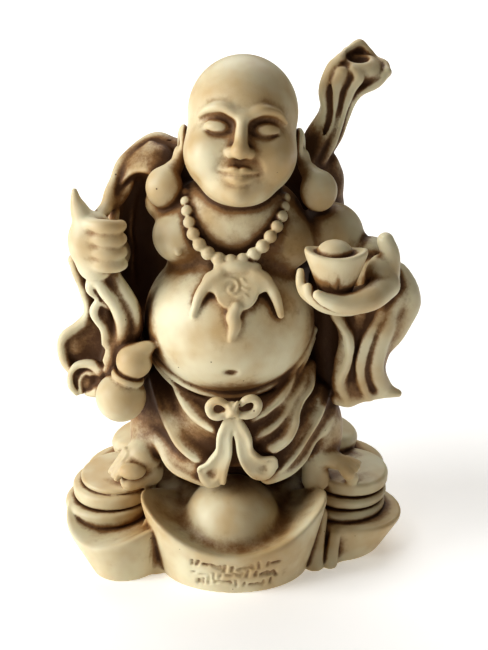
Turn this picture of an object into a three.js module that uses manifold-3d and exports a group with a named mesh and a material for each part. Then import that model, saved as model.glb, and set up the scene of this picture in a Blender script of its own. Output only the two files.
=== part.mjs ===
// A cast resin figurine: a round-bellied monk with a sack, standing on gold ingots and coins.
// Millimetres, +Z up, the front faces -Y, and the origin is at the middle of the underside.
// It is modelled as clay is: rounded forms are blended with or cut from a lattice of distances,
// and then a surface is drawn through the lattice and thinned to a light mesh.
import * as THREE from "three";
import { edgeTable, triTable } from "three/addons/objects/MarchingCubes.js";
import { mergeVertices } from "three/addons/utils/BufferGeometryUtils.js";
import Module from "manifold-3d";

// The figure
const FIGURE_HEIGHT = 128; // from the soles to the tip of the sack's neck
const BEADS = 17; // on the necklace
const BEAD_RADIUS = 2.1; // the largest beads, beside the pendant

// The big ingot in front
const INGOT_LENGTH = 57; // from tip to tip
const INGOT_DEPTH = 40; // across the top
const INGOT_FOOT_LENGTH = 44;
const INGOT_FOOT_DEPTH = 34;
const INGOT_RIM_HEIGHT = 14; // the rim at its lowest, at the front
const INGOT_TIP_HEIGHT = 25.5; // the rim at the tips
const INGOT_BASIN = 4.4; // how far the top sinks below the rim
const EGG_RADIUS = 14.5; // the dome in the middle of the top
const EGG_HEIGHT = 14.5;

// The two side ingots
const SIDE_INGOT_LENGTH = 37;
const SIDE_INGOT_DEPTH = 32;
const SIDE_INGOT_FOOT_LENGTH = 21;
const SIDE_INGOT_FOOT_DEPTH = 27;
const SIDE_INGOT_RIM_HEIGHT = 10;
const SIDE_INGOT_TIP_HEIGHT = 15.5;
const SIDE_INGOT_BASIN = 1.4;

// The piles of coins in the side ingots
const COIN_RADIUS = 12; // the top coin of a pile
const COIN_THICKNESS = 4.9;
const COIN_RADIUS_STEP = 0.7; // how much wider each lower coin is
const LEFT_COINS = [0.4, 1.05, 1.1]; // how thick each coin is, from the top down
const RIGHT_COINS = [1, 0.65, 0.7];

// The surface
const CELL = 1; // the spacing of the lattice
const TRIANGLES = 9700;

const FAR = 1e3; // what a lattice node holds before any form is near it

const smoothMin = (a, b, round) => {
  const near = round > 0 ? Math.max(round - Math.abs(a - b), 0) / round : 0;
  return Math.min(a, b) - (near * near * round) / 4;
};
const smoothMax = (a, b, round) => -smoothMin(-a, -b, round);

// Forms: each is a list of pieces, and a piece has a box and a distance, negative inside.

const shape = (pieces) => ({
  pieces,
  low: [0, 1, 2].map((i) => Math.min(...pieces.map((piece) => piece.low[i]))),
  high: [0, 1, 2].map((i) => Math.max(...pieces.map((piece) => piece.high[i]))),
});

// A form given about its own origin, turned by degrees about X, Y and Z, and set at a centre.
function placed(centre, turn, reach, distance) {
  const [rx, ry, rz] = turn.map(THREE.MathUtils.degToRad);
  const m = new THREE.Matrix4().makeRotationFromEuler(new THREE.Euler(rx, ry, rz))
    .setPosition(...centre).invert().elements;
  return shape([{
    low: centre.map((v) => v - reach),
    high: centre.map((v) => v + reach),
    distance: (x, y, z) => distance(
      m[0] * x + m[4] * y + m[8] * z + m[12],
      m[1] * x + m[5] * y + m[9] * z + m[13],
      m[2] * x + m[6] * y + m[10] * z + m[14],
    ),
  }]);
}

function ellipsoid(centre, [a, b, c], turn = [0, 0, 0]) {
  return placed(centre, turn, Math.max(a, b, c), (x, y, z) => {
    const far = Math.hypot(x / a, y / b, z / c);
    const slope = Math.hypot(x / (a * a), y / (b * b), z / (c * c));
    return slope > 0 ? (far * (far - 1)) / slope : -Math.min(a, b, c);
  });
}

const ball = (centre, radius) => ellipsoid(centre, [radius, radius, radius]);

// A flat round plate with rounded edges, such as a coin.
function disc(centre, radius, thickness, edge, turn = [0, 0, 0]) {
  return placed(centre, turn, Math.hypot(radius, thickness), (x, y, z) => {
    const out = Math.hypot(x, y) - radius + edge;
    const up = Math.abs(z) - thickness / 2 + edge;
    return Math.min(Math.max(out, up), 0) + Math.hypot(Math.max(out, 0), Math.max(up, 0)) - edge;
  });
}

const curve = (places) => new THREE.CatmullRomCurve3(places, false, "catmullrom");

// A strand along a smooth curve through points [x, y, z, radius]: a limb, a fold, a cord.
// With flat under 1 it is a ribbon, thin along the direction that it faces.
function strand(points, { flat = 1, facing = [0, -1, 0], steps = 5 } = {}) {
  const line = curve(points.map(([x, y, z]) => new THREE.Vector3(x, y, z)));
  const swell = curve(points.map((point) => new THREE.Vector3(point[3], 0, 0)));
  const count = (points.length - 1) * steps;
  const [fx, fy, fz] = new THREE.Vector3(...facing).normalize().toArray();
  const knots = Array.from({ length: count + 1 }, (_, i) => {
    return [...line.getPoint(i / count), swell.getPoint(i / count).x];
  });
  return shape(knots.slice(1).map(([bx, by, bz, br], i) => {
    const [ax, ay, az, ar] = knots[i];
    const [dx, dy, dz] = [bx - ax, by - ay, bz - az];
    const long = dx * dx + dy * dy + dz * dz;
    const reach = Math.max(ar, br);
    return {
      low: [Math.min(ax, bx) - reach, Math.min(ay, by) - reach, Math.min(az, bz) - reach],
      high: [Math.max(ax, bx) + reach, Math.max(ay, by) + reach, Math.max(az, bz) + reach],
      distance: (x, y, z) => {
        const t = THREE.MathUtils.clamp(((x - ax) * dx + (y - ay) * dy + (z - az) * dz) / long, 0, 1);
        const radius = ar + (br - ar) * t;
        const [vx, vy, vz] = [x - ax - dx * t, y - ay - dy * t, z - az - dz * t];
        if (flat === 1) return Math.sqrt(vx * vx + vy * vy + vz * vz) - radius;
        const across = vx * fx + vy * fy + vz * fz;
        const along = Math.sqrt(Math.max(vx * vx + vy * vy + vz * vz - across * across, 0));
        const far = Math.hypot(along, across / flat) / radius;
        const slope = Math.hypot(along, across / (flat * flat)) / (radius * radius);
        return slope > 0 ? (far * (far - 1)) / slope : -radius * flat;
      },
    };
  }));
}

// A boat-shaped gold ingot: flared walls on an oval foot, a rim that rises to both tips, and a sunk top.
// A slant is how far the foot stands aside of the rim.
function ingot(centre, yaw, length, depth, footLength, footDepth, rim, tip, basin, slant = [0, 0]) {
  const sunk = 4; // how far it goes on below its foot, where the base is cut flat
  const step = 0.1;
  const topAt = (x, y) => {
    const along = Math.min(Math.abs(x) / (length / 2), 1.1);
    const edge = Math.min(Math.hypot(x / (length / 2), y / (depth / 2)), 1);
    return rim + (tip - rim) * along ** 2 - basin * (1 - edge ** 2);
  };
  const reach = Math.hypot(length / 2 + Math.abs(slant[0]), depth / 2 + Math.abs(slant[1]), tip);
  return placed(centre, [0, 0, yaw], reach, (x, y, z) => {
    const a = footLength / 2 + ((length - footLength) / 2) * (Math.max(z, -sunk) / tip);
    const b = footDepth / 2 + ((depth - footDepth) / 2) * Math.min(z / rim, 1);
    const u = x - slant[0] * (1 - z / tip);
    const v = y - slant[1] * (1 - z / tip);
    const far = Math.hypot(u / a, v / b);
    const slope = Math.hypot(u / (a * a), v / (b * b));
    const wall = slope > 0 ? (far * (far - 1)) / slope : -b;
    const top = topAt(x, y);
    const steep = Math.hypot(topAt(x + step, y) - top, topAt(x, y + step) - top) / step;
    return Math.max(smoothMax(wall, (z - top) / Math.hypot(1, steep), 2.4), -z - sunk);
  });
}

// A block of lattice nodes that holds the clay. Forms are given in the frame's coordinates.
class Clay {
  constructor(frame, low, high) {
    this.toFrame = frame.clone().invert().elements;
    this.frame = frame;
    this.scale = frame.getMaxScaleOnAxis();
    this.block = this.span(low, high, 0);
    this.values = new Float32Array(volume(this.block)).fill(FAR);
  }

  // The lattice nodes of a box in the frame, grown by a reach.
  span(low, high, reach) {
    const box = new THREE.Box3(new THREE.Vector3(...low), new THREE.Vector3(...high))
      .applyMatrix4(this.frame).expandByScalar(reach);
    return {
      first: box.min.toArray().map((v) => Math.floor(v / CELL)),
      last: box.max.toArray().map((v) => Math.ceil(v / CELL)),
    };
  }

  // Puts a form on the clay by a rule: its own pieces are first joined plainly.
  meet(form, round, rule) {
    const reach = round + 2 * CELL;
    const block = common(this.span(form.low, form.high, reach), this.block);
    if (!volume(block)) return this;
    const near = new Float32Array(volume(block)).fill(FAR);
    const m = this.toFrame;
    for (const piece of form.pieces) {
      const part = common(this.span(piece.low, piece.high, reach), block);
      each(part, (i, j, k) => {
        const x = i * CELL;
        const y = j * CELL;
        const z = k * CELL;
        const at = index(block, i, j, k);
        const away = this.scale * piece.distance(
          m[0] * x + m[4] * y + m[8] * z + m[12],
          m[1] * x + m[5] * y + m[9] * z + m[13],
          m[2] * x + m[6] * y + m[10] * z + m[14],
        );
        if (away < near[at]) near[at] = away;
      });
    }
    this.combine(block, near, round, rule);
    return this;
  }

  combine(block, near, round, rule) {
    let at = 0;
    each(block, (i, j, k) => {
      const away = near[at++];
      if (away >= FAR) return;
      const here = index(this.block, i, j, k);
      this.values[here] = rule(this.values[here], away, round);
    });
  }

  add(form, round = 0) {
    return this.meet(form, round * this.scale, smoothMin);
  }

  cut(form, round = 0) {
    return this.meet(form, round * this.scale, (here, away, r) => smoothMax(here, -away, r));
  }

  // Marks the outermost nodes as outside, so that the surface closes.
  seal() {
    const { first, last } = this.block;
    each(this.block, (i, j, k) => {
      if ([i, j, k].some((v, n) => v === first[n] || v === last[n]))
        this.values[index(this.block, i, j, k)] = CELL;
    });
    return this;
  }

  // Joins another block of clay to this one.
  join(other, round = 0) {
    const block = common(other.block, this.block);
    const near = new Float32Array(volume(block));
    let at = 0;
    each(block, (i, j, k) => {
      near[at++] = other.values[index(other.block, i, j, k)];
    });
    this.combine(block, near, round, smoothMin);
    return this;
  }
}

function volume({ first, last }) {
  return first.reduce((product, v, i) => product * Math.max(last[i] - v + 1, 0), 1);
}

function common(a, b) {
  return {
    first: a.first.map((v, i) => Math.max(v, b.first[i])),
    last: a.last.map((v, i) => Math.min(v, b.last[i])),
  };
}

function index({ first, last }, i, j, k) {
  const row = (k - first[2]) * (last[1] - first[1] + 1) + j - first[1];
  return row * (last[0] - first[0] + 1) + i - first[0];
}

function each({ first, last }, visit) {
  for (let k = first[2]; k <= last[2]; k++)
    for (let j = first[1]; j <= last[1]; j++)
      for (let i = first[0]; i <= last[0]; i++) visit(i, j, k);
}

// The surface where the clay's distance is zero, as corner positions and triangles.
function surface(clay) {
  const { first, last } = clay.block;
  const positions = [];
  const triangles = [];
  const corners = [[0, 0, 0], [1, 0, 0], [1, 1, 0], [0, 1, 0], [0, 0, 1], [1, 0, 1], [1, 1, 1],
    [0, 1, 1]];
  const edges = [[0, 1], [1, 2], [3, 2], [0, 3], [4, 5], [5, 6], [7, 6], [4, 7], [0, 4], [1, 5], [2, 6],
    [3, 7]];
  const axes = [0, 1, 0, 1, 0, 1, 0, 1, 2, 2, 2, 2];
  const known = new Int32Array(clay.values.length * 3).fill(-1);
  const offsets = corners.map(([i, j, k]) => index(clay.block, first[0] + i, first[1] + j, first[2] + k));
  const cells = { first, last: last.map((v) => v - 1) };
  each(cells, (i, j, k) => {
    const here = index(clay.block, i, j, k);
    let kind = 0;
    for (let c = 0; c < 8; c++) if (clay.values[here + offsets[c]] < 0) kind |= 1 << c;
    if (!edgeTable[kind]) return;
    const crossing = edges.map(([a, b], e) => {
      if (!(edgeTable[kind] & (1 << e))) return -1;
      const key = (here + offsets[a]) * 3 + axes[e];
      if (known[key] < 0) {
        const from = clay.values[here + offsets[a]];
        const share = THREE.MathUtils.clamp(from / (from - clay.values[here + offsets[b]]), 0.05, 0.95);
        const place = [i, j, k].map((v, n) => v + corners[a][n] + (n === axes[e] ? share : 0));
        known[key] = positions.length / 3;
        positions.push(...place.map((v) => v * CELL));
      }
      return known[key];
    });
    for (let t = kind * 16; triTable[t] >= 0; t += 3)
      triangles.push(crossing[triTable[t]], crossing[triTable[t + 2]], crossing[triTable[t + 1]]);
  });
  return { positions, triangles };
}

// The largest connected surface of a mesh, so that no bubble or crumb is left.
function largest({ positions, triangles }) {
  const parent = Int32Array.from({ length: positions.length / 3 }, (_, v) => v);
  const root = (v) => {
    while (parent[v] !== v) {
      parent[v] = parent[parent[v]];
      v = parent[v];
    }
    return v;
  };
  for (let t = 0; t < triangles.length; t += 3)
    for (const other of [1, 2]) parent[root(triangles[t + other])] = root(triangles[t]);
  const sizes = new Map();
  for (const v of triangles) sizes.set(root(v), (sizes.get(root(v)) ?? 0) + 1);
  const [biggest] = [...sizes].reduce((most, entry) => (entry[1] > most[1] ? entry : most));
  return { positions, triangles: triangles.filter((v) => root(v) === biggest) };
}

// Thins a closed mesh to a number of triangles: the edge whose loss changes the shape least goes first.
function thin({ positions, triangles }, wanted) {
  const quadrics = new Float64Array((positions.length / 3) * 10);
  const around = Array.from({ length: positions.length / 3 }, () => new Set());
  const version = new Int32Array(positions.length / 3);
  const heap = new Heap();
  const corner = (v) => new THREE.Vector3().fromArray(positions, v * 3);
  const plane = (a, b, c) => {
    const normal = b.clone().sub(a).cross(c.clone().sub(a));
    return [normal, normal.length() / 2];
  };

  for (let t = 0; t < triangles.length; t += 3) {
    const vertices = triangles.slice(t, t + 3);
    const [a, b, c] = vertices.map(corner);
    const [normal, area] = plane(a, b, c);
    normal.normalize();
    const p = [normal.x, normal.y, normal.z, -normal.dot(a)];
    for (const v of vertices) {
      around[v].add(t);
      let n = v * 10;
      for (let i = 0; i < 4; i++) for (let j = i; j < 4; j++) quadrics[n++] += p[i] * p[j] * area;
    }
  }

  const neighbours = (v) => {
    const found = new Set();
    for (const t of around[v]) for (let i = 0; i < 3; i++) found.add(triangles[t + i]);
    found.delete(v);
    return found;
  };

  const costAt = (q, x, y, z) =>
    q[0] * x * x + 2 * q[1] * x * y + 2 * q[2] * x * z + 2 * q[3] * x +
    q[4] * y * y + 2 * q[5] * y * z + 2 * q[6] * y + q[7] * z * z + 2 * q[8] * z + q[9];

  // The best place for the corner that stands for both ends of an edge.
  const offer = (a, b) => {
    const q = Array.from({ length: 10 }, (_, i) => quadrics[a * 10 + i] + quadrics[b * 10 + i]);
    const ends = [corner(a), corner(b)];
    const spots = [...ends, ends[0].clone().lerp(ends[1], 0.5)];
    const matrix = new THREE.Matrix3().set(q[0], q[1], q[2], q[1], q[4], q[5], q[2], q[5], q[7]);
    if (Math.abs(matrix.determinant()) > 1e-4) {
      const best = new THREE.Vector3(-q[3], -q[6], -q[8]).applyMatrix3(matrix.invert());
      if (best.distanceTo(spots[2]) < ends[0].distanceTo(ends[1])) spots.push(best);
    }
    const costs = spots.map((p) => costAt(q, p.x, p.y, p.z));
    const least = costs.indexOf(Math.min(...costs));
    const cost = costs[least] + 1e-6 * ends[0].distanceToSquared(ends[1]);
    heap.push({ cost, a, b, spot: spots[least], version: version[a] + version[b] });
  };

  // An edge may go if the mesh stays closed and no triangle beside it turns over.
  const allowed = ({ a, b, spot }) => {
    const beside = neighbours(b);
    if ([...neighbours(a)].filter((v) => beside.has(v)).length !== 2) return false;
    for (const [v, other] of [[a, b], [b, a]])
      for (const t of around[v]) {
        const vertices = triangles.slice(t, t + 3);
        if (vertices.includes(other)) continue;
        const [before] = plane(...vertices.map(corner));
        const [after] = plane(...vertices.map((n) => (n === v ? spot : corner(n))));
        if (before.dot(after) < 0.25 * before.length() * after.length()) return false;
      }
    return true;
  };

  for (let t = 0; t < triangles.length; t += 3)
    for (let i = 0; i < 3; i++) {
      const [a, b] = [triangles[t + i], triangles[t + ((i + 1) % 3)]];
      if (a < b) offer(a, b);
    }

  let left = triangles.length / 3;
  while (left > wanted && heap.length) {
    const edge = heap.pop();
    const { a, b, spot } = edge;
    const stale = version[a] < 0 || version[b] < 0 || version[a] + version[b] !== edge.version;
    if (stale || !allowed(edge)) continue;
    for (const t of around[b]) {
      const vertices = triangles.slice(t, t + 3);
      if (vertices.includes(a)) {
        for (const v of vertices) around[v].delete(t);
        left--;
      } else {
        for (let i = 0; i < 3; i++) if (triangles[t + i] === b) triangles[t + i] = a;
        around[a].add(t);
      }
    }
    around[b].clear();
    spot.toArray(positions, a * 3);
    for (let i = 0; i < 10; i++) quadrics[a * 10 + i] += quadrics[b * 10 + i];
    version[a]++;
    version[b] = -1;
    for (const v of neighbours(a)) offer(Math.min(a, v), Math.max(a, v));
  }
  return compact(positions, triangles, around);
}

// The corners and triangles that are left, numbered afresh.
function compact(positions, triangles, around) {
  const number = new Map();
  const left = { positions: [], triangles: [] };
  around.forEach((faces, v) => {
    if (!faces.size) return;
    number.set(v, number.size);
    left.positions.push(...positions.slice(v * 3, v * 3 + 3));
  });
  const faces = new Set(around.flatMap((beside) => [...beside]));
  for (const t of faces) left.triangles.push(...triangles.slice(t, t + 3).map((v) => number.get(v)));
  return left;
}

// A heap that gives the edge of least cost first.
class Heap {
  items = [];

  get length() {
    return this.items.length;
  }

  push(item) {
    const { items } = this;
    let at = items.push(item) - 1;
    while (at > 0) {
      const parent = (at - 1) >> 1;
      if (items[parent].cost <= item.cost) break;
      items[at] = items[parent];
      at = parent;
    }
    items[at] = item;
  }

  pop() {
    const { items } = this;
    const least = items[0];
    const item = items.pop();
    if (!items.length) return least;
    let at = 0;
    for (let child = 1; child < items.length; child = 2 * at + 1) {
      if (child + 1 < items.length && items[child + 1].cost < items[child].cost) child++;
      if (item.cost <= items[child].cost) break;
      items[at] = items[child];
      at = child;
    }
    items[at] = item;
    return least;
  }
}

// The mesh as a solid, with everything under the ground cut off flat.
function cutFlat(wasm, { positions, triangles }) {
  const solid = new wasm.Manifold(new wasm.Mesh({
    numProp: 3,
    vertProperties: new Float32Array(positions),
    triVerts: new Uint32Array(triangles),
  }));
  const ground = new THREE.BoxGeometry(400, 400, 100).translate(0, 0, -50);
  return solid.subtract(solidOf(wasm, ground));
}

function solidOf(wasm, geometry) {
  geometry.deleteAttribute("normal");
  geometry.deleteAttribute("uv");
  const merged = mergeVertices(geometry);
  return new wasm.Manifold(new wasm.Mesh({
    numProp: 3,
    vertProperties: new Float32Array(merged.attributes.position.array),
    triVerts: new Uint32Array(merged.index.array),
  }));
}

function geometryOf(solid) {
  const { vertProperties, triVerts } = solid.getMesh();
  const geometry = new THREE.BufferGeometry();
  geometry.setAttribute("position", new THREE.BufferAttribute(vertProperties, 3));
  geometry.setIndex(new THREE.BufferAttribute(triVerts, 1));
  geometry.computeVertexNormals();
  return geometry;
}

// Several strands added to the clay, and several cut into it
const strands = (clay, list, round, options) => {
  for (const points of list) clay.add(strand(points, options), round);
};
const grooves = (clay, list, round) => {
  for (const points of list) clay.cut(strand(points), round);
};

// Folds of cloth, each a soft swell with a sharp crest along points, on a body round a middle.
function folds(clay, many, width, middle = [0, -6]) {
  for (const points of many) {
    const swell = points.map(([x, y, z]) => {
      const [dx, dy] = [middle[0] - x, middle[1] - y];
      const inward = (width * 1.2) / Math.hypot(dx, dy);
      return [x + dx * inward, y + dy * inward, z, width * 0.8];
    });
    clay.add(strand(swell), 2.4);
    clay.add(strand(points.map((point) => [...point, 0.6])), 1.8);
  }
}

// The base: a big ingot in front, and a smaller one on each side that holds a pile of coins.

const PILE_HEIGHT = SIDE_INGOT_RIM_HEIGHT + 2.65 * COIN_THICKNESS;
// each side ingot: its place, turn, rim and tip shares and slant, and its pile's place, tilt, lean and coins
const SIDES = [
  [[-INGOT_LENGTH / 2 - SIDE_INGOT_LENGTH * 0.21, -INGOT_DEPTH * 0.59, 0], -30, 1.15, 1.15, [6, 0.6],
    [1.3, 12], [3, -3, 0], [-1.7, -0.6], LEFT_COINS],
  [[INGOT_LENGTH / 2 + SIDE_INGOT_LENGTH * 0.16, -INGOT_DEPTH * 0.3, 0], -34, 1.2, 0.75, [1.4, -2.6],
    [1, 3.6], [3, 2, 0], [-1.2, -1.2], RIGHT_COINS],
];

function coinPile(clay, at, tilt, lean, coins) {
  let z = PILE_HEIGHT;
  for (const [n, share] of coins.entries()) {
    const thickness = COIN_THICKNESS * share;
    const centre = [at[0] + lean[0] * n, at[1] + lean[1] * n, z - thickness / 2];
    const edge = Math.min(1.3, thickness * 0.4);
    clay.add(disc(centre, COIN_RADIUS + COIN_RADIUS_STEP * n, thickness * 0.9, edge, tilt), 0.5);
    z -= thickness;
  }
}

function base() {
  const half = INGOT_LENGTH / 2;
  const front = -INGOT_DEPTH * 0.7;
  const clay = new Clay(new THREE.Matrix4(), [-half - 32, -INGOT_DEPTH - 16, -5], [half + 32, 34, 42]);
  clay.add(strand([[-half - 3, -10, 0, 13], [0, -8, 4, 17], [half + 3, -10, 0, 13]]));
  clay.add(ellipsoid([0, 6, 6], [half + 7, 15, 15]), 4);
  for (const [at, yaw, rim, tip, slant, pile, tilt, lean, coins] of SIDES) {
    clay.add(ingot(
      at, yaw, SIDE_INGOT_LENGTH, SIDE_INGOT_DEPTH, SIDE_INGOT_FOOT_LENGTH, SIDE_INGOT_FOOT_DEPTH,
      SIDE_INGOT_RIM_HEIGHT * rim, SIDE_INGOT_TIP_HEIGHT * tip, SIDE_INGOT_BASIN, slant,
    ), 0.5);
    coinPile(clay, [at[0] + pile[0], at[1] + pile[1]], tilt, lean, coins);
  }
  // pleats wedged between the ingots
  strands(clay, [
    [[-half + 3.4, -26, 12.4, 2], [-half + 1.2, -31, 6, 2.3], [-half - 0.8, -34.4, -2, 2.8]],
    [[-half + 7.5, -26, 10, 3.4], [-half + 6, -29.6, 4, 4], [-half + 4.6, -31, -2, 4.6]],
    [[half - 2.6, -25, 15, 2.2], [half - 3.8, -28.6, 7, 2.5], [half - 4.6, -31.4, -2, 2.8]],
    [[half + 1.8, -27.4, 9.4, 1.6], [half + 0.8, -29, 4, 2], [half, -30.6, -2, 2.2]],
  ], 0.5);
  clay.add(ellipsoid([half - 1.5, -22, 0], [8, 8, 9]), 1);
  clay.add(ingot(
    [0, front, 0], 0, INGOT_LENGTH, INGOT_DEPTH, INGOT_FOOT_LENGTH, INGOT_FOOT_DEPTH,
    INGOT_RIM_HEIGHT, INGOT_TIP_HEIGHT, INGOT_BASIN,
  ), 0.5);
  clay.add(ellipsoid([-0.5, front + 3, INGOT_RIM_HEIGHT - 2],
    [EGG_RADIUS, EGG_RADIUS * 1.05, EGG_HEIGHT]), 1.2);
  // coins that lean on each other behind
  for (const [way, lift] of [[-1, 1.5], [1, 3.5]]) {
    const beside = half + 7.5 + lift / 4;
    clay.add(disc([way * beside, 4, 14.5 + lift], COIN_RADIUS - 1.5, 7, 2.4, [0, way * 12, 0]), 0.5);
    clay.add(disc([way * half, 8, 22 + lift], COIN_RADIUS - 1.5, 8, 2.4, [0, way * 16, 0]), 0.5);
    clay.add(disc([way * half * 0.45, 15, 13], COIN_RADIUS - 0.5, 7, 2.4, [-14, 0, 0]), 0.5);
  }
  return clay;
}

// The figure is carved in parts of its own height: it is 128 parts tall, and its soles are at 23.
const PARTS_TALL = 128;
const PARTS_TO_SOLES = 23;
const PART = FIGURE_HEIGHT / PARTS_TALL;
const FIGURE = new THREE.Matrix4().makeTranslation(0, 0, PILE_HEIGHT - PARTS_TO_SOLES * PART)
  .scale(new THREE.Vector3(PART, PART, PART));

// The sack on the back. Its cloth is held out at the figure's right.
function sack() {
  const clay = new Clay(FIGURE, [-54, -34, 18], [56, 36, 156]);
  clay.add(ellipsoid([0, 2, 46], [27, 17, 32]));
  clay.add(ellipsoid([-1, 10, 95], [34, 16, 27]), 4);
  clay.add(ellipsoid([25, 8, 108], [7.6, 8, 12]), 3);
  clay.add(ellipsoid([-23, -1, 97], [15.5, 14, 25]), 4);
  clay.add(ellipsoid([-28, -4, 68], [8, 10, 20]), 4);
  clay.cut(ellipsoid([-26, -13.5, 96], [10.5, 13, 21.5]), 1.2);
  // the rolled edge, from behind the ear down into the fist
  strands(clay, [
    [[-12, -2, 121, 2.4], [-17.5, 2, 121.6, 2.6], [-22.6, 4, 122, 2.6], [-27, 2.4, 120.6, 2.4],
      [-31.4, -1.6, 116.6, 2.2], [-34.6, -7, 111.6, 2], [-36, -13, 108.4, 2], [-37, -19, 107, 2],
      [-37.6, -23, 106, 2]],
    [[-24, 0, 121.4, 1.5], [-26.8, -2.6, 118.6, 1.8], [-28.4, -4.6, 115.4, 1.3]],
    [[-35.4, -12, 108, 1.5], [-32.6, -9, 108.6, 1.6], [-29.4, -7, 112, 1.4], [-27.4, -5, 115.6, 1.3]],
  ], 1);
  strands(clay, [
    [[-22, -1, 116, 1.2], [-24, 0.4, 108, 1.5], [-23.4, 1.5, 98, 1.8], [-24, 0, 86, 1.6],
      [-26, -4, 78, 1.4]],
    [[-28.6, -3, 110, 1.2], [-30.4, -2.4, 102, 1.5], [-30.8, -2.4, 92, 1.7], [-31, -5, 82, 1.8],
      [-32.4, -8, 75, 1.4]],
    [[-34, -10, 105, 1.2], [-35, -9, 97, 1.4], [-34.6, -9, 89, 1.6], [-34, -11, 80, 1.6]],
  ], 1.4);
  backFolds(clay);
  return clay;
}

// Plain folds on the back: over the sack from its neck, and down the robe below it.
function backFolds(clay) {
  strands(clay, [
    [[22, 12, 112, 1.6], [14, 20.6, 108, 1.9], [0, 24.6, 101, 1.7], [-12, 24.2, 92, 1.1]],
    [[26, 12, 108, 1.6], [18, 20.8, 98, 1.9], [8, 24.4, 86, 1.6], [-2, 24.2, 78, 1]],
    [[30, 11, 104, 1.5], [27, 16, 94, 1.7], [21, 20, 82, 1.2]],
    [[20, 9, 117, 1.6], [6, 18.4, 115, 1.7], [-10, 20.6, 109, 1.4], [-24, 16, 99, 1]],
  ], 1.6);
  for (let n = -3; n < 4; n++) {
    const bend = 1.6 * Math.sin(2.1 * n);
    const low = 29 + 2.4 * (Math.abs(n) % 2);
    const points = [];
    for (let step = 0; step < 4; step++) {
      const z = 66 + (low - 66) * step / 3;
      const x = (5.4 + 0.9 * step) * n + bend * step * 0.6;
      const y = 1 + 17 * Math.sqrt(1 - (x / 30) ** 2) * (1 - ((z - 46) / 42) ** 2);
      points.push([x, y, z, 1.2 + 0.5 * step]);
    }
    clay.add(strand(points), 2.4);
  }
}

// The tied neck of the sack, which stands up over the figure's left shoulder.
function sackNeck() {
  const clay = new Clay(FIGURE, [12, -12, 96], [56, 28, 156]);
  clay.add(strand([[21, 5, 112, 6], [23.4, 5, 119, 5], [27.4, 6, 127, 4], [29.4, 7, 133.5, 3.5],
    [31, 7.6, 139, 4.8]]));
  clay.add(ellipsoid([35.4, 9, 142], [8.2, 5.8, 4.4], [0, 4, 0]), 2);
  strands(clay, [
    [[18.6, 3, 117, 1.6], [23, 3.4, 123.4, 1.5], [26.4, 4.4, 131, 1.4], [26.2, 5, 137, 1.8],
      [28, 5.6, 142.6, 1.9], [30.6, 6, 145.4, 1.6]],
    [[22.4, 0.6, 117, 1.6], [26.6, 2.2, 125, 1.4], [28.8, 3.6, 132, 1.3], [29.2, 3.6, 137.6, 1.8],
      [30.8, 4, 142, 2.2]],
    [[25.6, 1.6, 117, 1.6], [29.6, 2.8, 125, 1.4], [31.8, 4, 132, 1.2], [33.4, 3.8, 137, 1.6],
      [35.6, 3.6, 140.6, 1.8], [34, 4, 143, 1.4]],
    [[25.4, 6, 115, 1.8], [30.6, 6, 124, 1.6], [33.4, 6, 131.6, 1.4], [36, 5.6, 136, 1.5],
      [41, 5.6, 139, 1.7], [44, 7, 141.6, 1.5]],
    [[24.6, 10, 117, 2], [29, 10.5, 127, 1.6], [31.6, 11.4, 136, 1.8], [35, 13.4, 143, 1.8],
      [36.4, 13, 148.4, 1.6]],
    [[20, 8, 116, 2], [25.4, 8.6, 127, 1.5], [27.6, 9.4, 135, 1.7], [30, 11, 142, 1.8],
      [32.6, 10.6, 146.6, 1.4]],
  ], 0.7);
  strands(clay, [
    [[44, 7, 141.6, 1.5], [43.6, 10, 143, 1.5], [41, 12, 144, 1.3], [38.6, 12.6, 146.6, 1.4],
      [36.4, 13, 148.6, 1.5], [33.4, 10.6, 147, 1.4], [30.8, 7, 145.6, 1.5]],
  ], 0.6);
  clay.cut(ellipsoid([35.8, 7.8, 146.4], [3.4, 2.6, 2.8], [0, 12, 0]), 1.2);
  grooves(clay, [
    [[26, 1.6, 123.6, 0.3], [27.6, 2.4, 130, 0.9], [27.4, 2.6, 136, 0.9], [28.2, 3.4, 139, 0.4]],
    [[29, 1.2, 124, 0.3], [30.6, 2.2, 131, 1], [31.4, 2.2, 136.6, 0.8], [33, 2.6, 140, 0.4]],
    [[34.6, 2, 134.6, 0.4], [37.6, 3, 138.2, 0.9], [42, 4.4, 140.6, 0.4]],
  ], 0.6);
  return clay;
}

function torso() {
  const clay = new Clay(FIGURE, [-34, -44, 44], [46, 14, 124]);
  clay.add(ellipsoid([-1.2, -13, 74], [24.8, 25, 22]));
  clay.add(ellipsoid([0, -9, 98], [21, 14, 15]), 4);
  clay.add(ellipsoid([0.5, -11.6, 104.5], [19, 13, 12.5]), 4);
  clay.add(ellipsoid([-15, -15.6, 99.8], [8, 8.4, 8]), 2.4);
  clay.add(ellipsoid([14.6, -15.4, 98], [8.6, 8, 8]), 3.4);
  clay.add(ellipsoid([-19, -7, 107], [6.4, 7, 5.6]), 3);
  clay.add(ellipsoid([28, -8.6, 98], [9.6, 9, 9.2], [0, 20, 0]), 2.4);
  clay.add(ball([-15.4, -23.8, 97.6], 1.1), 0.8);
  clay.add(ball([14.8, -22.6, 97], 1.2), 0.8);
  clay.cut(ellipsoid([-0.6, -37.6, 66.6], [2.5, 2.6, 1.1], [-20, 0, 0]), 0.9);
  return clay;
}

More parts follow.
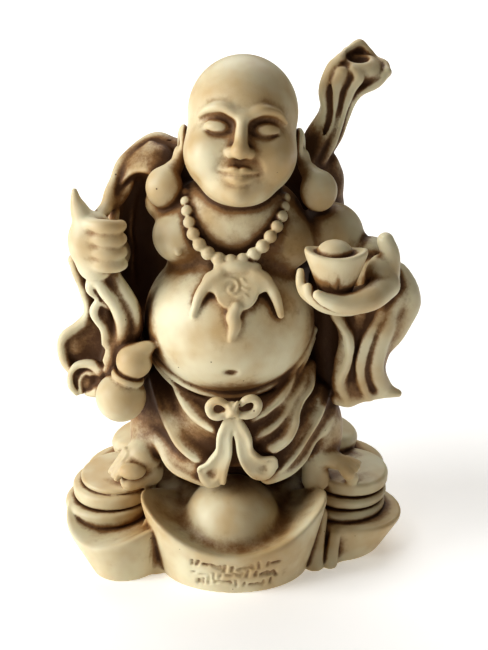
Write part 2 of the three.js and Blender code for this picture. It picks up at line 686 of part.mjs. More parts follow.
// A rolled edge of cloth under the belly, where the skirt is gathered.
function waistband(clay) {
  for (const [drop, radius] of [[0, 1.1], [2.6, 0.8]]) {
    const points = [];
    for (let n = 0; n < 9; n++) {
      const around = THREE.MathUtils.degToRad(12 + 19.5 * n);
      const x = -1.2 + 25 * Math.cos(around);
      const y = -12.6 - 11.6 * Math.sin(around);
      points.push([x, y, 75 - drop - 21 * Math.sin(around), radius]);
    }
    clay.add(strand(points), 0.6);
  }
}

function skirt() {
  const clay = new Clay(FIGURE, [-46, -46, 20], [46, 14, 72]);
  clay.add(ellipsoid([0, -8, 45], [26.5, 24, 18]));
  clay.add(ellipsoid([0, -8.5, 37.5], [24.5, 22.4, 9]), 3);
  clay.add(ellipsoid([0, -6, 22], [18, 11, 12]), 1);
  clay.add(strand([[-18, -10, 47, 10], [-23, -13, 40, 8], [-25, -14.6, 34, 6]]), 3);
  clay.add(strand([[18, -8, 47, 10], [23.5, -11, 40, 9], [25.6, -12, 33, 7]]), 3);
  // swags that hang from the hips towards the middle
  folds(clay, [
    [[-25, -15, 56], [-22.4, -20.4, 51.4], [-20.8, -23.6, 47.8], [-18.6, -27.4, 43.9],
      [-16.2, -30, 40.6], [-12.7, -32.2, 38.1], [-8.9, -33.4, 36.2]],
    [[-20, -18, 61], [-17.1, -24, 56.8], [-15, -27.5, 53.6], [-12.6, -30, 51], [-9.7, -31.8, 49],
      [-6.2, -33.2, 47.4], [-4.2, -33.8, 46.3]],
    [[-29.6, -13, 41.4], [-27.2, -17, 39.6], [-24.1, -21, 38], [-21.7, -24.2, 36.1],
      [-19.8, -27.2, 33.3], [-17.1, -29.4, 31.5], [-13.3, -31.2, 30.5], [-9.8, -32.2, 29.6]],
    [[24, -18, 60], [22.9, -22, 56], [20.2, -25.8, 52.8], [18.4, -28.6, 50.1], [18, -30.6, 46.9],
      [15.7, -32.6, 43.1], [11.9, -33.8, 40.7]],
    [[30, -15, 44.6], [27.2, -19, 40.9], [23.9, -22, 38], [20.9, -25.6, 33.6], [16.4, -28.8, 30.7],
      [11.1, -31, 29.9]],
    [[21, -20.4, 60], [19.3, -24, 56.8], [16.3, -27.6, 53.6], [14.3, -30, 50], [11, -32, 47],
      [6.4, -33.4, 44.6]],
  ], 2);
  folds(clay, [
    [[28.4, -17, 51], [25.4, -22.4, 46.4], [21.8, -26, 41.6], [18.6, -28.6, 37.4], [15, -30.6, 34],
      [12, -31.8, 32.4]],
  ], 3.4);
  folds(clay, [
    [[17.6, -23.4, 61], [16.4, -25.5, 59], [13.4, -29, 55], [9, -31.8, 52], [5.3, -33, 50.4]],
  ], 1.2);
  clay.add(strand([[-22, -20, 38, 3], [-15, -26.4, 34.6, 3], [-9, -30, 33.6, 2.4]]), 2);
  clay.cut(ellipsoid([23.4, -25.4, 50.4], [2.6, 4, 3], [0, 0, -30]), 1.4);
  clay.cut(strand([[-1, -34, 44, 1.2], [0.2, -32, 38, 2.4], [0.8, -30, 31, 3.8]]), 0.8);
  return clay;
}

// The bow under the belly and the two ends of its sash.
function sash(clay) {
  clay.add(ellipsoid([-0.6, -34.8, 54.4], [2.3, 2, 2.3]), 0.4);
  strands(clay, [
    [[-1.4, -34.6, 55.4, 0.9], [-3.6, -35.2, 57, 1.1], [-5.6, -34.8, 57.2, 1.3],
      [-6.8, -34.4, 55.4, 1.3], [-5.2, -35, 53.6, 1.2], [-2, -35, 53.8, 0.9]],
    [[0.4, -34.6, 55.4, 0.9], [2.6, -35, 57.2, 1], [4.6, -34.8, 57.8, 1.2], [6.2, -34.4, 56.2, 1.3],
      [5, -35, 54.2, 1.2], [1.6, -35, 53.8, 0.9]],
  ], 0.3);
  strands(clay, [
    [[-1.4, -34.6, 52, 1], [-2.4, -35, 46.4, 1.6], [-2.7, -34.8, 41.4, 1.9], [-4.4, -33.8, 36.6, 2.9],
      [-6.2, -32.4, 32.2, 3.7]],
    [[0.4, -34.6, 52, 1], [2.8, -35, 46.4, 1.8], [3.4, -34.8, 41.4, 1.9], [5.4, -34, 37.6, 2.9],
      [8.8, -32.8, 35, 3.3]],
  ], 0.5, { flat: 0.55 });
  strands(clay, [
    [[-1.6, -35, 51.6, 0.6], [-3.6, -36.6, 46.3, 0.8], [-4.2, -36.6, 41.5, 0.8],
      [-6.4, -35.8, 37.6, 0.9], [-9.8, -34.4, 35.4, 0.9], [-9.4, -33.6, 32.6, 0.9],
      [-7.2, -33.4, 29.4, 0.9], [-4.6, -33.4, 30, 0.8]],
    [[-0.8, -35, 51, 0.5], [-1.2, -36, 44.8, 0.7], [-1.2, -35.8, 39.9, 0.8], [-2.2, -35, 35.7, 0.9],
      [-2.9, -34, 30.8, 0.9]],
    [[-0.4, -35, 51, 0.5], [1.2, -36, 44.7, 0.7], [1.9, -35.8, 39.9, 0.8], [3.6, -35.2, 35.7, 0.9],
      [6.2, -34, 32.4, 0.9], [9.6, -33.2, 32.2, 0.8], [12, -33.2, 35.2, 0.9]],
    [[1.2, -35, 51.6, 0.6], [4.4, -36.8, 45.7, 0.9], [4.9, -36.4, 41.4, 0.9], [7.2, -35.6, 38.9, 0.9],
      [11.4, -34.4, 38.4, 0.9], [12.2, -33.4, 35.6, 0.8]],
  ], 0.5);
}

// A bare foot: ankle and instep, then the toes.
function foot(clay, body, toes) {
  clay.add(strand(body), 1.6);
  for (const [start, end, radius] of toes) {
    clay.add(strand([[...start, radius * 0.9], [...end, radius]]), 0.3);
  }
}

function feet(clay) {
  foot(clay, [[-23, -14, 38, 5.4], [-25.4, -17.4, 34.6, 5.2], [-27.2, -19.8, 32, 5.5]], [
    [[-32.2, -21, 34.6], [-36.6, -22.4, 28], 1],
    [[-31.4, -22.4, 34], [-35.6, -24, 27.6], 1.05],
    [[-30.6, -23.6, 32.6], [-34.6, -25.4, 27.4], 1.1],
  ]);
  clay.add(ellipsoid([-30, -25.4, 29.8], [4, 3, 2.6]), 0.3);
  foot(clay, [[24.6, -12.6, 38, 5.4], [25, -16, 31.4, 4.4], [29, -17.8, 30, 3], [33, -19, 28.8, 2.4]], [
    [[32.4, -20.4, 28.8], [34.2, -22, 27], 2],
    [[33.6, -19.6, 29.6], [36.2, -21, 28], 1.2],
    [[34, -18.2, 29.8], [37, -19.4, 28.2], 1.15],
    [[34, -17, 29.6], [37.4, -17.8, 28.2], 1.1],
  ]);
  clay.add(strand([[-25.4, -19.6, 26.4, 4.2], [-31, -22.8, 25, 3]]), 0.8);
  clay.add(strand([[24.4, -17, 28, 3.8], [24.6, -17.4, 23, 4.2]]), 1);
  clay.add(strand([[34.6, -19.6, 25.4, 1.8], [35.6, -19, 24, 2]]), 1);
}

// The figure's right arm, and the fist that holds the sack's cloth.
function rightArm() {
  const clay = new Clay(FIGURE, [-60, -38, 76], [-18, 12, 120]);
  clay.add(strand([[-36, -8, 92, 6], [-38, -16, 93, 5.4], [-39, -22, 94.6, 4.6]]));
  clay.add(ellipsoid([-39.2, -22.6, 100.2], [7, 5.8, 8.8]), 1);
  clay.add(ellipsoid([-38.4, -23.4, 93.4], [5, 4.4, 4.6]), 2);
  for (const z of [106.4, 102.6, 98.8, 95.2]) {
    clay.add(strand([[-39.6, -26.2, z + 0.2, 1.5], [-36, -28, z, 2.1], [-32.6, -27.6, z - 0.3, 2],
      [-31, -25.4, z - 0.6, 1.7]]), 1.2);
  }
  clay.add(strand([[-43.8, -21.4, 114.6, 0.8], [-43.4, -21.8, 111.8, 1.6], [-42.2, -22.4, 108.4, 2.8],
    [-40.4, -23, 104, 3.6]]), 1);
  return clay;
}

// The sleeve, and cloth that hangs out of the fist like a rope.
function rightSleeve() {
  const clay = new Clay(FIGURE, [-60, -34, 40], [-18, 12, 100]);
  strands(clay, [
    [[-38.4, -23.4, 91.4, 2.8], [-36.6, -24, 87, 2.1], [-33.4, -23.8, 82, 2.1], [-31.6, -23, 76.5, 2.4],
      [-31.8, -22.4, 71, 2.6], [-33.6, -21.8, 66, 2.4], [-35.4, -21.4, 61, 2.6]],
    [[-34.6, -22.4, 92, 2], [-31.4, -22.4, 86.4, 1.9], [-28.6, -22, 80.4, 2], [-27.8, -21.6, 75.6, 2.1],
      [-29.6, -21.4, 70, 2.3], [-32, -21, 65, 2.6]],
    [[-39.6, -23.6, 89.4, 1.7], [-40.2, -23.2, 86.6, 1.7], [-38.6, -22.6, 84, 1.2]],
    [[-35.4, -22.6, 81, 1.1], [-37.8, -22.6, 82.2, 1.3], [-39.4, -22.4, 79.6, 1.5],
      [-38.6, -22.2, 76.6, 1.4], [-36.8, -22.4, 73.8, 1.6], [-36.8, -22.2, 70.6, 1.7],
      [-38.2, -22, 67.8, 1.5], [-37.6, -21.8, 64.6, 1.7]],
  ], 0.9);
  strands(clay, [
    [[-31.6, -18, 83, 1.4], [-31.6, -18, 78, 3], [-33.4, -18, 70, 4], [-35, -18, 62, 4]],
    [[-36, -21.4, 91, 2.8], [-33, -21.8, 85, 2.5], [-30.4, -21.4, 79, 2.5], [-30.8, -21, 73, 2.8]],
    [[-37, -20.6, 80, 1.8], [-36, -20.8, 75, 2.2], [-34.6, -21, 70, 2.8], [-35.6, -21, 65, 3]],
  ], 1.2);
  // the hanging sleeve: a hollow sheet with a rolled edge
  strands(clay, [
    [[-42.6, -14, 93, 3.4], [-41, -11, 85, 4], [-39.6, -10, 77.6, 4], [-38.6, -10, 70.4, 6],
      [-41.6, -12, 64.6, 8], [-41, -13, 60, 7.4]],
  ], 1, { flat: 0.45 });
  clay.add(strand([[-34, -8, 70, 6], [-33, -11, 60, 7.4], [-34, -13, 53, 5]]), 2);
  clay.add(ellipsoid([-45, -12.8, 64.2], [6.2, 2.8, 5.8]), 1);
  clay.cut(ellipsoid([-42.4, -19.4, 69], [6, 5, 8.6], [0, -12, 0]), 2);
  strands(clay, [
    [[-45.6, -16, 92.4, 1.5], [-45, -13.4, 87, 1.4], [-43.4, -12, 81.4, 1.3], [-42.4, -12, 76, 1.3],
      [-44, -12.8, 71.8, 1.3], [-49, -14.4, 69, 1.3], [-50.6, -14.8, 65.4, 1.3],
      [-49.6, -15.6, 61, 1.5], [-46.6, -17.2, 57.6, 1.6]],
  ], 2);
  // the curled hem under it
  clay.add(ellipsoid([-42.8, -16.6, 56.4], [5.1, 2.8, 5.2]), 1);
  strands(clay, [
    [[-46.2, -18.6, 52, 1], [-47.6, -18.6, 54.6, 1.2], [-47.6, -18.6, 58, 1.1],
      [-45.6, -18.8, 60.8, 1.2], [-41.8, -19.2, 61.4, 1.5], [-38, -20.2, 59.8, 2.2]],
    [[-44.8, -18.6, 52.2, 0.8], [-45, -18.8, 56.2, 0.8], [-43, -19, 58.8, 1], [-40, -19.4, 58.2, 1.6]],
    [[-43, -18.2, 51.8, 1.2], [-40.4, -19.2, 52.6, 1.8], [-38, -19.6, 55, 2.4]],
  ], 0.5);
  clay.cut(ellipsoid([-40.6, -20.8, 56.6], [1.5, 1.8, 1.8]), 0.8);
  return clay;
}

function gourd(clay) {
  clay.add(ball([-32.6, -25.6, 54], 7.3), 0.4);
  clay.add(ball([-28.4, -26, 65.4], 5.2), 0.6);
  clay.add(disc([-30.4, -25.9, 60.4], 4.9, 2, 0.9, [0, 20, 0]), 0.7);
  clay.add(strand([[-27.2, -26.2, 67.4, 3.6], [-24.4, -26.4, 69.8, 2], [-21.8, -26.4, 70.8, 0.6]]), 0.8);
}

// The figure's left arm: a bare shoulder and an open hand.
function leftArm() {
  const clay = new Clay(FIGURE, [14, -50, 76], [60, 12, 112]);
  clay.add(strand([[29, -9, 96.6, 8], [34, -10, 91, 7.8], [38.6, -13, 87.2, 7.2], [41.2, -21, 88, 6]]));
  clay.add(ellipsoid([41, -27.6, 91], [4.6, 6.4, 7]), 1.4);
  clay.add(strand([[43, -27.4, 93, 3.4], [43.4, -27.6, 98, 2.7], [42, -27.2, 102, 2.4]]), 1.2);
  strands(clay, [
    [[42.4, -31, 90.4, 3.8], [37.4, -36.6, 88.6, 3.5], [30.6, -39.4, 88, 2.8], [25.4, -40.4, 89.6, 2],
      [23, -40.4, 91, 1.5]],
    [[39.6, -31, 88, 3.6], [32, -35, 86, 3], [25, -37, 87, 2.3], [21, -37.4, 90, 1.7],
      [20.4, -37, 92, 1.3]],
    [[36, -30, 87, 3], [26, -33, 86, 2.4], [20.4, -34.6, 89, 1.8], [18.6, -34.6, 92.4, 1.5],
      [18.4, -34, 95.4, 1.1]],
  ], 0.6);
  return clay;
}

// The wide sleeve, which hangs in folds and swings out to a point.
function leftSleeve() {
  const clay = new Clay(FIGURE, [14, -34, 40], [60, 12, 100]);
  clay.add(strand([[39, -12, 90, 8], [41.4, -13.6, 78, 9.4], [39.4, -14.4, 66, 6.8],
    [38.4, -14.6, 55, 5.6]], { flat: 0.8 }));
  clay.add(strand([[27, -6, 84, 5], [28, -7, 72, 6], [29, -9, 60, 6], [30.4, -10.6, 52, 5]]), 2);
  clay.add(strand([[26, -6, 62, 5], [28, -8, 50, 5]]), 2);
  strands(clay, [
    [[43, -17, 92, 2.2], [46.8, -16, 86.6, 4.4], [48.6, -15.6, 79.6, 5.4], [45.2, -16, 71.4, 5],
      [41.4, -16.4, 65.4, 4.2], [39.8, -16.6, 60.4, 4], [42, -16.8, 56, 3.2], [45, -16.6, 52.6, 1.9],
      [48.4, -16.4, 50.8, 0.8]],
    [[30.6, -19, 50.6, 2.2], [34.6, -18.6, 51, 2.6], [39, -18.4, 51.6, 2.2], [44, -17.6, 51.4, 1.5],
      [48.6, -16.4, 50.8, 1]],
  ], 1.4);
  clay.add(strand([[36, -18, 84, 4], [36, -18.4, 74, 3.6], [34.6, -18.6, 64, 3.2],
    [35.4, -18.4, 54, 3]]), 1.4);
  clay.add(strand([[46, -19.4, 83, 2.6], [43.6, -20.6, 75, 3], [41.4, -20.8, 67, 3],
    [40.8, -20.2, 60, 2.8], [42.8, -18.8, 54, 2]]), 1.8);
  clay.add(strand([[43.4, -19.8, 83, 2], [41.6, -21, 77, 2.1], [39.2, -21.8, 72, 2.1],
    [37, -22, 65, 2.1], [36.8, -21.6, 60, 2], [38, -20.8, 55, 1.8], [40, -19.8, 51.4, 1.4]]), 1);
  clay.add(strand([[30.2, -20, 77, 1.4], [32, -20.6, 70, 1.8], [31, -20.4, 62, 1.8],
    [30.6, -19.8, 56, 1.8], [31.8, -19.4, 51.6, 1.8]]), 1.4);
  folds(clay, [
    [[28.4, -22.4, 79], [30, -23.8, 76.4], [32.6, -24.4, 72], [33.2, -24.4, 67], [32.2, -24, 62],
      [30.8, -23.6, 58], [31.6, -22.8, 54], [33.2, -21.8, 50.6]],
  ], 1.3, [38, 20]);
  grooves(clay, [
    [[36.4, -23, 80, 0.8], [35.6, -23, 72, 0.9], [34.6, -22.8, 65, 0.9], [34.2, -22.4, 58, 0.6]],
    [[43.4, -23.6, 78, 0.3], [41, -24, 73, 0.6], [39.2, -24, 66, 0.7], [38.8, -23.4, 60, 0.6],
      [40.4, -21.4, 54, 0.3]],
  ], 0.8);
  return clay;
}

function smallIngot(clay) {
  clay.add(ingot([28, -34.4, 91], -6, 19.5, 12, 10, 8, 11.4, 12.8, 2.6), 0.4);
  clay.add(ellipsoid([27.6, -33.6, 100.6], [5, 4, 3.8]), 0.5);
}

// Beads on a curve across the chest, growing towards the pendant.
function necklace(clay) {
  const points = [
    [-13.6, -15, 112], [-13, -20, 109.4], [-12.2, -22.6, 106], [-10.4, -24.8, 101.8], [-7.4, -26, 98.4],
    [-3.6, -26.8, 96.4], [1.6, -27, 96], [6, -26.4, 98], [9, -25.6, 101], [11.8, -24, 104.6],
      [13.8, -21, 107.8], [14.6, -16, 111],
  ];
  const line = curve(points.map((point) => new THREE.Vector3(...point)));
  for (let n = 0; n < BEADS; n++) {
    const share = n / (BEADS - 1);
    const radius = BEAD_RADIUS * (1 - 0.3 * Math.abs(2 * share - 1) ** 1.5);
    clay.add(ball(line.getPointAt(share).toArray(), radius / PART), 0.3);
  }
}

// The plaque, its two curved wings and the tail below it, all lying on the belly.
function pendant(clay) {
  clay.add(disc([1, -32, 89.4], 6.2, 1.8, 0.7, [58, 0, 0]), 0.5);
  clay.add(strand([[-4, -28.4, 94.4, 1.5], [1, -29, 95, 2], [6.4, -28.2, 94.4, 1.5]]), 0.7);
  strands(clay, [
    [[-3.4, -29.4, 93.6, 1.8], [-7, -31, 90.6, 1.8], [-9.4, -32.4, 87.4, 1.5], [-11, -34, 82.8, 1]],
    [[5.6, -29.2, 93.4, 1.8], [9.4, -30.4, 90.8, 1.8], [11.8, -31.8, 87, 1.5], [13.2, -33.2, 82.4, 1]],
    [[1, -35, 85.2, 1.8], [0, -36, 83, 2], [0.4, -36.6, 80.6, 1.9], [-0.6, -37.6, 77, 0.9]],
  ], 0.5);
}

// The head, in a frame of its own: upright, with its middle at the origin.
function head() {
  const turned = new THREE.Matrix4().makeRotationFromEuler(new THREE.Euler(-0.24, 0.07, 0));
  const within = new THREE.Matrix4().makeTranslation(2.4, -13, 130).multiply(turned).premultiply(FIGURE);
  const clay = new Clay(within, [-24, -24, -24], [24, 22, 24]);
  clay.add(ellipsoid([0, 1.5, 4.5], [15.4, 17, 16]));
  clay.add(ellipsoid([0, -2, -6.5], [15.8, 14, 13.5]), 3);
  clay.add(ellipsoid([0, -6.6, -15.5], [9.4, 8.6, 5.8]), 3);
  for (const way of [-1, 1]) {
    clay.add(ball([way * 7.8, -9.2, -7], 6.4), 3);
    // eye socket, brow, and a lowered lid with its crease
    clay.cut(ellipsoid([way * 6.2, -16.4, 0.8], [4.8, 3.6, 3.2]), 2.4);
    clay.add(strand([[way * 1.6, -15, 3.6, 1.1], [way * 5.4, -14.8, 5.4, 1.2],
      [way * 9.4, -12.8, 4.8, 0.9], [way * 12.2, -10.2, 2.6, 0.3]]), 1.6);
    clay.add(ellipsoid([way * 6.2, -11.4, 0], [4.1, 3.2, 2.6]), 0.4);
    clay.cut(strand([[way * 2.8, -14, -0.9, 0.2], [way * 6.2, -15, -2, 0.5],
      [way * 9.8, -12.6, -1, 0.2]]), 0.6);
    clay.cut(strand([[way * 2.8, -14.4, 1.8, 0.3], [way * 6.2, -14.8, 2.9, 0.4],
      [way * 10, -12.4, 1.8, 0.3]]), 0.6);
    clay.cut(strand([[way * 3.4, -16.6, -7.6, 0.3], [way * 5.2, -16, -9.4, 0.5],
      [way * 6.2, -15, -11.4, 0.3]]), 1.4);
  }
  clay.add(strand([[0, -14.6, 3.6, 1.4], [0, -16, -1, 1.6], [0, -17.2, -5.2, 2.1]]), 1.4);
  clay.add(ball([0, -17.4, -5.8], 2.4), 0.8);
  for (const way of [-1, 1]) {
    clay.add(ball([way * 2.5, -15.9, -6.4], 1.6), 0.8);
    clay.cut(ball([way * 1.3, -17.8, -8.1], 0.6), 0.4);
  }
  clay.cut(strand([[0, -17, -8.4, 0.4], [0, -17, -9.6, 0.4]]), 1);
  clay.add(strand([[-4.6, -14.2, -11.4, 0.5], [-1.6, -15.9, -11, 1.1], [0, -15.9, -11.3, 1],
    [1.6, -15.9, -11, 1.1], [4.6, -14.2, -11.4, 0.5]]), 0.8);
  clay.add(strand([[-3.6, -14.2, -12.9, 0.6], [0, -15.4, -13.6, 1.5], [3.6, -14.2, -12.9, 0.6]]), 0.8);
  clay.cut(strand([[-5.4, -14.4, -11.8, 0.3], [-2, -16.6, -12.2, 0.6], [0, -17, -12.4, 0.6],
    [2, -16.6, -12.2, 0.6], [5.4, -14.4, -11.8, 0.3]]), 0.4);
  clay.cut(strand([[-2.6, -15.6, -15.6, 0.4], [0, -16.2, -15.8, 0.6], [2.6, -15.6, -15.6, 0.4]]), 1.4);
  clay.add(ball([0, -12, -17.4], 3.4), 1.8);
  clay.cut(strand([[-8, -11.6, -17.4, 0.3], [-4.6, -12.8, -20, 0.5], [0, -13.4, -21, 0.5],
    [4.6, -12.8, -20, 0.5], [8, -11.6, -17.4, 0.3]]), 1.2);
  return clay;
}

// Ears with long lobes, which hang beside the neck.
function ears(clay) {
  for (const [side, dx, dz] of [[-1, 0, 0], [1, 4.6, -1]]) {
    clay.add(ellipsoid([side * 14 + dx, -7, 124.6 + dz], [1.9, 3.6, 5.4], [12, 0, 0]), 1.2);
    clay.cut(ellipsoid([side * 15.8 + dx, -8.6, 124.8 + dz], [0.9, 1.6, 3.2], [12, 0, 0]), 0.6);
    clay.add(strand([[side * 15 + dx, -8.2, 122 + dz, 1.9], [side * 15.8 + dx, -9.4, 119.2 + dz, 2.1],
      [side * 17.8 + dx, -12, 117 + dz, 2.9]]), 1);
    clay.add(ellipsoid([side * 19.4 + dx, -14, 113.4 + dz], [5.3, 4.8, 6]), 1.2);
  }
}

function model() {
  const whole = new Clay(FIGURE, [-66, -58, -12], [66, 40, 158]);
  whole.join(base());
  whole.join(sack(), 0.8);
  whole.join(sackNeck(), 1.2);
  whole.join(torso(), 0.8);
  whole.join(skirt(), 0.8);
  waistband(whole);
  sash(whole);
  feet(whole);
  whole.join(rightSleeve(), 0.6);
  whole.join(rightArm(), 0.4);
  gourd(whole);
  whole.join(leftSleeve(), 0.6);
  whole.join(leftArm(), 0.6);
  smallIngot(whole);
  whole.join(head(), 0.6);
  ears(whole);
  necklace(whole);
  pendant(whole);
  return whole.seal();
}

const wasm = await Module();
wasm.setup();
const solid = cutFlat(wasm, thin(largest(surface(model())), TRIANGLES));

const budai = new THREE.Group();
const resin = new THREE.MeshStandardMaterial({ color: 0xd8c8a4, roughness: 0.5, metalness: 0 });
const figureMesh = new THREE.Mesh(geometryOf(solid), resin);
figureMesh.name = "figure";
budai.add(figureMesh);

export default budai;
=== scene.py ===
"""The looks of a cast resin figurine: a round-bellied monk with a sack, on gold ingots and coins.

The fine casting is modelled as clay is: rounded forms are blended with or cut from a lattice of
distances, as in the part's own solid, and a surface is drawn through the lattice. Lengths are in
millimetres until the mesh is made and in metres from there on, +Z is up, and the front faces -Y.
"""

import math

import bpy
import numpy as np
from mathutils import Euler, Matrix, Vector


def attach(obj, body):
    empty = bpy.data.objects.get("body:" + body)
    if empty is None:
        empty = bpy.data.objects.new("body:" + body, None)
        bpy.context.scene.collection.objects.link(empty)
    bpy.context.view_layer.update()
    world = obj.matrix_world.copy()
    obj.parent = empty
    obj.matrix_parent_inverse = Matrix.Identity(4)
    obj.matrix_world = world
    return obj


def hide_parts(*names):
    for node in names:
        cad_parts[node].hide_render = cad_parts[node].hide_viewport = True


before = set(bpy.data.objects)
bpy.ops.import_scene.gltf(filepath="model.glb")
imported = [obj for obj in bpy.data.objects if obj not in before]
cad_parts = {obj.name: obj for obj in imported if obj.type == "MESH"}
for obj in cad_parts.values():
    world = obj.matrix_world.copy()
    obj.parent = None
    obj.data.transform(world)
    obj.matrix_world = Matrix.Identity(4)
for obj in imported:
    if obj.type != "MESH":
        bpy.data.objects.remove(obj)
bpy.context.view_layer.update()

# The figure
FIGURE_HEIGHT = 128.0  # from the soles to the tip of the sack's neck
BEADS = 17  # on the necklace
BEAD_RADIUS = 2.1  # the largest beads, beside the pendant
PLAQUE = (1, -32, 89.4)  # the middle of the pendant
PLAQUE_LEAN = 58  # degrees back from upright

# The big ingot in front
INGOT_LENGTH = 57.0  # from tip to tip
INGOT_DEPTH = 40.0  # across the top
INGOT_FOOT_LENGTH = 44.0
INGOT_FOOT_DEPTH = 34.0
INGOT_RIM_HEIGHT = 14.0  # the rim at its lowest, at the front
INGOT_TIP_HEIGHT = 25.5  # the rim at the tips
INGOT_BASIN = 4.4  # how far the top sinks below the rim
INGOT_MIDDLE = -INGOT_DEPTH * 0.7  # how far forward it stands
EGG_RADIUS = 14.5  # the dome in the middle of the top
EGG_HEIGHT = 14.5
STROKES = 38  # of the inscription
STROKE_ROWS = 3

# The two side ingots
SIDE_INGOT_LENGTH = 37.0
SIDE_INGOT_DEPTH = 32.0
SIDE_INGOT_FOOT_LENGTH = 21.0
SIDE_INGOT_FOOT_DEPTH = 27.0
SIDE_INGOT_RIM_HEIGHT = 10.0
SIDE_INGOT_TIP_HEIGHT = 15.5
SIDE_INGOT_BASIN = 1.4

# The piles of coins in the side ingots
COIN_RADIUS = 12.0  # the top coin of a pile
COIN_THICKNESS = 4.9
COIN_RADIUS_STEP = 0.7  # how much wider each lower coin is
LEFT_COINS = (0.4, 1.05, 1.1)  # how thick each coin is, from the top down
RIGHT_COINS = (1, 0.65, 0.7)
PILE_HEIGHT = SIDE_INGOT_RIM_HEIGHT + 2.65 * COIN_THICKNESS  # the top of both piles

# The figure is carved in parts of its own height: it is 128 parts tall, and its soles are at 23.
PARTS_TALL = 128
PARTS_TO_SOLES = 23
PART = FIGURE_HEIGHT / PARTS_TALL
FIGURE = Matrix.Translation((0, 0, PILE_HEIGHT - PARTS_TO_SOLES * PART)) @ Matrix.Scale(PART, 4)

# The surface
CELL = 0.42  # the spacing of the lattice
CORNERS = [(i, j, k) for i in (0, 1) for j in (0, 1) for k in (0, 1)]  # of a lattice cell
FAR = 1e3  # what a lattice node holds before any form is near it
STEPS = 5  # the straight stretches from one point of a strand to the next
WAVES = 8  # that make cloth uneven
TRIANGLES = 196000
MM = 0.001

# The hollows: the brown wash stays in the crevices and grooves, and the wider hollows get painted shade as
# well as wash
CREVICE_REACH = 0.9
GROOVE_REACH = 2
HOLLOW_REACH = 14
WAYS_OUT = 48  # the directions in which each point looks out

# The resin's colours
PALE = (0.76, 0.7, 0.49, 1)
IVORY = (0.57, 0.41, 0.21, 1)
TAN = (0.26, 0.125, 0.037, 1)
UMBER = (0.075, 0.03, 0.009, 1)

# The camera, placed as the photo's seems to be
AIM = (0.003, 0, 0.066)
DISTANCE = 0.43
DEGREES_DOWN = 22
FOCAL_PIXELS = 1420  # for a picture of this height
PICTURE_HEIGHT = 650
SENSOR = 36


# Forms


def smooth_min(a, b, blend):
    """The lesser of two distances, rounded where they are closer to each other than the blend."""
    if blend <= 0:
        return np.minimum(a, b)
    near = np.maximum(blend - np.abs(a - b), 0) / blend
    return np.minimum(a, b) - near * near * (blend / 4)


def smooth_max(a, b, blend):
    """The greater of two distances, rounded in the same way."""
    return -smooth_min(-a, -b, blend)


class Piece:
    """One piece of a form: its box, and its distance function, negative inside."""

    def __init__(self, low, high, distance):
        self.low = np.array(low, float)
        self.high = np.array(high, float)
        self.distance = distance


def placed(centre, turn, reach, distance):
    """A form given about its own origin, turned by degrees about X, Y and Z, and set at a centre."""
    turned = np.array(Euler([math.radians(v) for v in turn], "ZYX").to_matrix())
    middle = np.array(centre, float)

    def moved(x, y, z):
        x, y, z = x - middle[0], y - middle[1], z - middle[2]
        return distance(*(turned[0, i] * x + turned[1, i] * y + turned[2, i] * z for i in range(3)))

    return [Piece(middle - reach, middle + reach, moved)]


def ellipsoid(centre, radii, turn=(0, 0, 0)):
    """A rounded lump. Its distances are nearly true close to its surface."""
    a, b, c = radii

    def distance(x, y, z):
        far = np.sqrt((x / a) ** 2 + (y / b) ** 2 + (z / c) ** 2)
        slope = np.sqrt((x / a**2) ** 2 + (y / b**2) ** 2 + (z / c**2) ** 2)
        return far * (far - 1) / np.maximum(slope, 1e-6)

    return placed(centre, turn, max(radii), distance)


def ball(centre, radius):
    """A ball round a centre."""
    return ellipsoid(centre, (radius, radius, radius))


def disc(centre, radius, thickness, edge, turn=(0, 0, 0)):
    """A flat round plate with rounded edges, such as a coin."""

    def distance(x, y, z):
        out = np.sqrt(x**2 + y**2) - radius + edge
        up = np.abs(z) - thickness / 2 + edge
        outside = np.sqrt(np.maximum(out, 0) ** 2 + np.maximum(up, 0) ** 2)
        return np.minimum(np.maximum(out, up), 0) + outside - edge

    return placed(centre, turn, math.hypot(radius, thickness), distance)


def curve(points, count):
    """Points on the smooth curve through the given ones, evenly spaced in its parameter."""
    points = np.array(points, float)
    ends = np.vstack([2 * points[0] - points[1], points, 2 * points[-1] - points[-2]])
    t = np.linspace(0, len(points) - 1, count + 1)
    whole = np.minimum(t.astype(int), len(points) - 2)
    u = (t - whole)[:, None]
    a, b, c, d = (ends[whole + i] for i in range(4))
    tangent_b, tangent_c = (c - a) / 2, (d - b) / 2
    return (
        b
        + tangent_b * u
        + (3 * (c - b) - 2 * tangent_b - tangent_c) * u**2
        + (2 * (b - c) + tangent_b + tangent_c) * u**3
    )


def link(start, end, flat):
    """One straight stretch of a strand: a cone with round ends.

    If flat is under 1 it is a ribbon, and this much as thick from front to back as it is wide.
    """
    a, b = start[:3], end[:3]
    along = b - a
    length = float(along @ along)
    reach = max(start[3], end[3])

    def distance(x, y, z):
        vx, vy, vz = x - a[0], y - a[1], z - a[2]
        t = np.clip((vx * along[0] + vy * along[1] + vz * along[2]) / length, 0, 1)
        radius = start[3] + (end[3] - start[3]) * t
        vx, vy, vz = vx - along[0] * t, vy - along[1] * t, vz - along[2] * t
        square = vx**2 + vy**2 + vz**2
        if flat == 1:
            return np.sqrt(square) - radius
        beside = np.sqrt(np.maximum(square - vy**2, 0))
        far = np.sqrt(beside**2 + (vy / flat) ** 2) / radius
        slope = np.sqrt(beside**2 + (vy / flat**2) ** 2) / radius**2
        return far * (far - 1) / np.maximum(slope, 1e-6)

    return Piece(np.minimum(a, b) - reach, np.maximum(a, b) + reach, distance)


def strand(points, flat=1):
    """A strand along a smooth curve through points (x, y, z, radius): a limb, a fold, a cord."""
    knots = curve(points, (len(points) - 1) * STEPS)
    return [link(start, end, flat) for start, end in zip(knots, knots[1:])]


